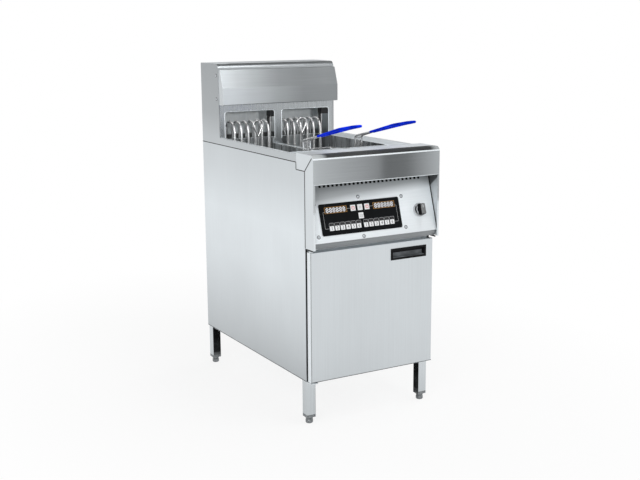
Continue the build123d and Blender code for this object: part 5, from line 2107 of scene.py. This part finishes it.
    def brackets(self) -> None:
        """Thin lines that lead from each display down to its keys."""
        wide, tall = self.display
        keys = self.product_pitch * (self.products - 1) + self.product_key[0]
        edge = self.product_x + keys / 2
        outer = self.display_x + wide / 2
        start = self.display_up - tall / 4
        turn = outer + self.bracket_out
        down = ((outer, start), (turn, start), (turn, self.product_up), (edge, self.product_up))
        inner = (self.display_x - wide / 2, self.function_pitch + self.function_key / 2)
        lines = []
        for side in Side:
            corners = at_z(0, [(side.sign * x, y) for x, y in down])
            bends = [self.bracket_bend] * 2
            rod = BentRod(corners, self.line, self.line_sides, bends, self.line_step)
            lines.append(rod.build("bracket"))
            ends = at_z(0, [(side.sign * x, self.function_up) for x in inner])
            lines.append(BentRod(ends, self.line, self.line_sides).build("bracket"))
        flat = put(join("display_brackets", lines), self.spot(0.0, 0.0, self.face - self.line / 4))
        hand_over(flat, "cabinet", "print_grey", "overlay_black")

    def numerals(self) -> None:
        """A plain number on each product key."""
        for name, x in self.product_places().items():
            take_up()
            bpy.ops.object.text_add()
            text = bpy.context.object.data
            text.body = name[-1]
            text.size = self.numeral
            text.align_x = text.align_y = "CENTER"
            text.extrude = self.ink / 2
            bpy.ops.object.convert(target="MESH")
            piece = put(settle(f"{name}_number"), self.spot(x, self.product_up, self.key_face))
            hand_over(piece, name, "print_black", "key_white")

    def signs(self) -> None:
        """A plain sign on each function key."""
        keys = (
            ("left_heat_key", -self.function_pitch, self.function_up, Sign.POWER, "print_red"),
            ("menu_key", 0.0, self.function_up, Sign.BARS, "print_grey"),
            ("right_heat_key", self.function_pitch, self.function_up, Sign.POWER, "print_red"),
            ("timer_key", 0.0, self.lone_up, Sign.CLOCK, "print_grey"),
        )
        for name, x, up, sign, finish in keys:
            piece = put(join(f"{name}_sign", self.sign(sign)), self.spot(x, up, self.key_face))
            hand_over(piece, name, finish, "key_white")

    def sign(self, sign: Sign) -> list[Piece]:
        """Strokes of a sign: three bars, or an open ring with its hands.

        Args:
            sign: Which sign.

        Returns:
            The strokes, about the origin.
        """
        far, top = self.sign_reach, self.sign_reach * sign.value
        if sign is Sign.BARS:
            return [self.stroke((-far, y), (far, y)) for y in (-top, 0.0, top)]
        mouth = far * self.sign_mouth
        bowl = ((-far, far), (-far, -far), (far, -far), (far, far))
        strokes = [self.stroke((-mouth, far), *bowl, (mouth, far), bend=far * self.sign_bend)]
        strokes.append(self.stroke((0.0, top), (0.0, 0.0)))
        if sign is Sign.CLOCK:
            strokes.append(self.stroke((0.0, 0.0), (far * self.clock_hand, 0.0)))
        return strokes

    def stroke(self, *points: tuple[float, float], bend: float = 0.0) -> Piece:
        """One stroke of a sign through its points."""
        radii = [bend] * (len(points) - 2)
        return BentRod(at_z(0, points), self.sign_line, 8, radii).build("stroke")


# Feet


@dataclass
class LevellingFeet:
    """Turned feet with a knurled collar, a waist and a threaded stud."""

    wide: float = 23.0 * MM
    base: float = 19.7 * MM
    pad: Steps = ((0.82, 0.0), (0.94, 0.06), (1.0, 0.14), (1.0, 0.52), (0.93, 0.58), (0.88, 0.62))
    collar: Steps = ((0.88, 0.70), (0.93, 0.74), (1.0, 0.80), (1.0, 0.93), (0.92, 1.0))
    stud: float = 10.0 * MM
    stud_core: float = 0.88
    thread: float = 1.5 * MM
    sides: int = 28
    crease: float = 30.0

    def build(self) -> None:
        """Model one foot and set a copy of it on each body."""
        names = [f"{end}_{side.value}_foot" for end in ("front", "rear") for side in Side]
        pattern = self.foot(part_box(names[0])[1].z)
        for name in names:
            low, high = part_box(name)
            place = Matrix.Translation(((low.x + high.x) / 2, (low.y + high.y) / 2, 0))
            piece = put(twin(pattern, f"{name}_dressed"), place)
            hand_over(piece, name, "foot_steel", "foot_steel", name)
        bpy.data.objects.remove(pattern)

    def foot(self, top: float) -> Piece:
        """One foot, from the floor to the top of its stud.

        Args:
            top: Height of the stud's top.

        Returns:
            The foot, on the origin.
        """
        steps = profile(self.pad + self.collar, self.wide, self.base)
        core = self.stud * self.stud_core
        height = self.base
        while height + self.thread < top:
            steps += [(core, height), (self.stud, height + self.thread / 2)]
            height += self.thread
        steps.append((core, top))
        return smooth(turned("foot", steps, self.sides), self.crease)


# Studio


@dataclass(frozen=True)
class RoomOpening:
    """A dark opening of the room that shows in the steel."""

    first: float
    last: float
    tones: Steps
    top: float
    fade: float

    def width(self, tree: NodeTree, direction: bpy.types.Node) -> Socket:
        """Greys across the opening, by the angle from straight ahead of the fryer to its right.

        Args:
            tree: Nodes of the world.
            direction: Node that splits the viewing direction.

        Returns:
            The colour's socket.
        """
        ahead = tree.calculate("MULTIPLY", direction.outputs["Y"], -1.0)
        angle = tree.calculate("ARCTAN2", direction.outputs["X"], ahead)
        reach = (math.radians(self.first), math.radians(self.last))
        return tree.stops(tree.span(angle, reach), self.tones)

    def height(self, tree: NodeTree, direction: bpy.types.Node) -> Socket:
        """One up to the top of the opening and zero above it."""
        return tree.span(direction.outputs["Z"], (self.top + self.fade, self.top))


FRONT_TONES = (
    (0.0, 1.0), (0.25, 0.90), (0.36, 0.58), (0.57, 0.31),
    (0.58, 0.17), (0.66, 0.20), (0.76, 0.52), (0.9, 0.9),
)
REAR_TONES = ((0.0, 1.0), (0.2, 0.06), (0.72, 0.06), (0.9, 1.0))
FRONT_OPENING = RoomOpening(24.0, 40.0, FRONT_TONES, 0.04, 0.10)
REAR_OPENING = RoomOpening(125.0, 165.0, REAR_TONES, 0.24, 0.10)


@dataclass
class Studio:
    """Floor, world, lamps and the camera."""

    eye: Vector = Vector((-1.672, -2.9325, 1.1875))
    yaw: float = math.radians(29.78)
    pitch: float = math.radians(11.66)
    roll: float = math.radians(-0.39)
    lens: float = 59.3
    sensor: float = 36.0
    aim: Vector = Vector((0.0, 0.0, 0.6))
    windows: Vector = Vector((0.02, 0.34, 0.86))
    window_cone: float = math.radians(11.0)
    floor_size: float = 7.0
    floor_colour: tuple[float, ...] = (0.94, 0.94, 0.94, 1.0)
    floor_roughness: float = 0.9
    dim_shape: tuple[float, float, float] = (1.5, 1.0, 1.0)
    dim_reach: float = 2.0
    painted_shadow_tones: Steps = ((0.0, 0.04), (0.16, 0.10), (0.22, 0.85), (0.40, 1.0))
    shadow_tones: Steps = ((0.3, 0.84), (0.95, 1.0))
    ceiling: Steps = ((0.0, 0.97), (0.45, 0.97), (0.62, 0.60), (0.82, 0.14))
    openings: tuple[RoomOpening, ...] = (FRONT_OPENING, REAR_OPENING)

    def build(self) -> None:
        """Set up everything that isn't the fryer."""
        self.floor()
        self.world()
        for name, place, size, power in (
            ("key_lamp", Vector((-2.6, -2.4, 2.6)), 2.0, 45.0),
            ("fill_lamp", Vector((3.0, 0.4, 2.4)), 2.0, 20.0),
            ("top_lamp", Vector((0.5, -1.1, 2.8)), 0.9, 15.0),
        ):
            self.lamp(name, "AREA", place, self.aim, shape="SQUARE", size=size, energy=power)
        self.lamp(
            "window_lamp",
            "SPOT",
            Vector((-0.7, -2.6, 1.25)),
            self.windows,
            energy=70.0,
            shadow_soft_size=0.10,
            spot_size=self.window_cone,
            spot_blend=0.5,
        )
        self.camera()
        bpy.context.scene.view_settings.view_transform = "Standard"

    def floor(self) -> None:
        """A pale floor that keeps the shadow, looks white, and shows a painted shadow round the
        fryer in the steel.
        """
        take_up()
        bpy.ops.mesh.primitive_plane_add(size=self.floor_size)
        floor = settle("floor")
        with editing(floor):
            bpy.ops.mesh.subdivide(number_cuts=4)
        tree = Shader("floor_white")
        tree.coat({"Base Color": self.floor_colour, "Roughness": self.floor_roughness})
        shape = tree.add("ShaderNodeMapping", {"Vector": tree.place, "Scale": self.dim_shape})
        away = tree.add("ShaderNodeVectorMath", {0: shape.outputs["Vector"]}, operation="LENGTH")
        reach = tree.span(away.outputs["Value"], (0.0, self.dim_reach))
        path = tree.add("ShaderNodeLightPath").outputs
        # Painted shadow: to glossy rays the floor glows dark near the fryer.
        near = tree.stops(reach, self.painted_shadow_tones)
        look = tree.blend(path["Is Camera Ray"], near, (*WHITE, 1.0), "MIX")
        glow = tree.add("ShaderNodeEmission", {"Color": look}).outputs[0]
        seen = path["Is Camera Ray"]
        for name in ("Is Glossy Ray", "Is Transmission Ray"):
            seen = tree.calculate("MAXIMUM", seen, path[name])
        share = tree.calculate("MULTIPLY", seen, tree.stops(reach, self.shadow_tones))
        mix = tree.add("ShaderNodeMixShader", {0: share, 1: tree.surface.outputs[0], 2: glow})
        tree.feed(tree.nodes["Material Output"], {"Surface": mix.outputs[0]})
        floor.data.materials.append(tree.material)

    def world(self) -> None:
        """A pale room with a dim ceiling and two dark openings; white to the camera."""
        world = bpy.data.worlds.new("studio")
        bpy.context.scene.world = world
        tree = NodeTree(world)
        place = tree.add("ShaderNodeTexCoord").outputs["Generated"]
        direction = tree.add("ShaderNodeSeparateXYZ", {0: place})
        room = tree.stops(direction.outputs["Z"], self.ceiling)
        for opening in self.openings:
            share = opening.height(tree, direction)
            room = tree.blend(share, room, opening.width(tree, direction))
        back = tree.nodes["Background"]
        tree.feed(back, {"Color": room})
        white = tree.add("ShaderNodeBackground", {"Color": (*WHITE, 1.0)})
        seen = tree.add("ShaderNodeLightPath").outputs["Is Camera Ray"]
        inputs = {0: seen, 1: back.outputs[0], 2: white.outputs[0]}
        mix = tree.add("ShaderNodeMixShader", inputs)
        tree.feed(tree.nodes["World Output"], {"Surface": mix.outputs[0]})

    @staticmethod
    def lamp(name: str, kind: str, place: Vector, target: Vector, **settings: object) -> None:
        """A soft lamp that faces a target.

        Args:
            name: Name of the lamp.
            kind: Kind of lamp.
            place: Where it hangs.
            target: What it is aimed at.
            settings: Its size, its power in watts and the like.
        """
        light = bpy.data.lights.new(name, kind)
        for setting, value in settings.items():
            setattr(light, setting, value)
        lamp = bpy.data.objects.new(name, light)
        bpy.context.scene.collection.objects.link(lamp)
        lamp.rotation_euler = (target - place).to_track_quat("-Z", "Y").to_euler()
        lamp.location = place

    def camera(self) -> None:
        """The camera, at the photograph's viewing angle."""
        flat = math.cos(self.pitch)
        turned_in, ahead_in = math.sin(self.yaw), math.cos(self.yaw)
        ahead = Vector((turned_in * flat, ahead_in * flat, -math.sin(self.pitch)))
        level = Vector((ahead_in, -turned_in, 0.0))
        upright = level.cross(ahead)
        right = level * math.cos(self.roll) + upright * math.sin(self.roll)
        top = upright * math.cos(self.roll) - level * math.sin(self.roll)
        data = bpy.data.cameras.new("camera")
        data.lens = self.lens
        data.sensor_width = self.sensor
        data.sensor_fit = "HORIZONTAL"
        camera = bpy.data.objects.new("camera", data)
        bpy.context.scene.collection.objects.link(camera)
        place = Matrix((right, top, -ahead)).transposed().to_4x4()
        place.translation = self.eye
        camera.matrix_world = place
        bpy.context.scene.camera = camera


def main() -> None:
    """Build the fryer's pieces in order, then the studio."""
    logging.basicConfig(level=logging.INFO, format="%(name)s: %(message)s")
    dress_kept_nodes()
    for sheet in SHEETS:
        sheet.build()
    SeamShadeBeads().build()
    WindowLips().build()
    for side in Side:
        HeatingBank(side).build()
    ThermostatProbes().build()
    LiftRack(Side.LEFT, hook_shift=1.0 * MM).build()
    LiftRack(Side.RIGHT, hook_shift=-35.0 * MM).build()
    for side in Side:
        FryBasket(side).build()
    CoverScrews().build()
    VentGrommets().build()
    PowerKnob().build()
    ControlOverlay().build()
    LevellingFeet().build()
    Studio().build()


if __name__ == "__main__":
    main()
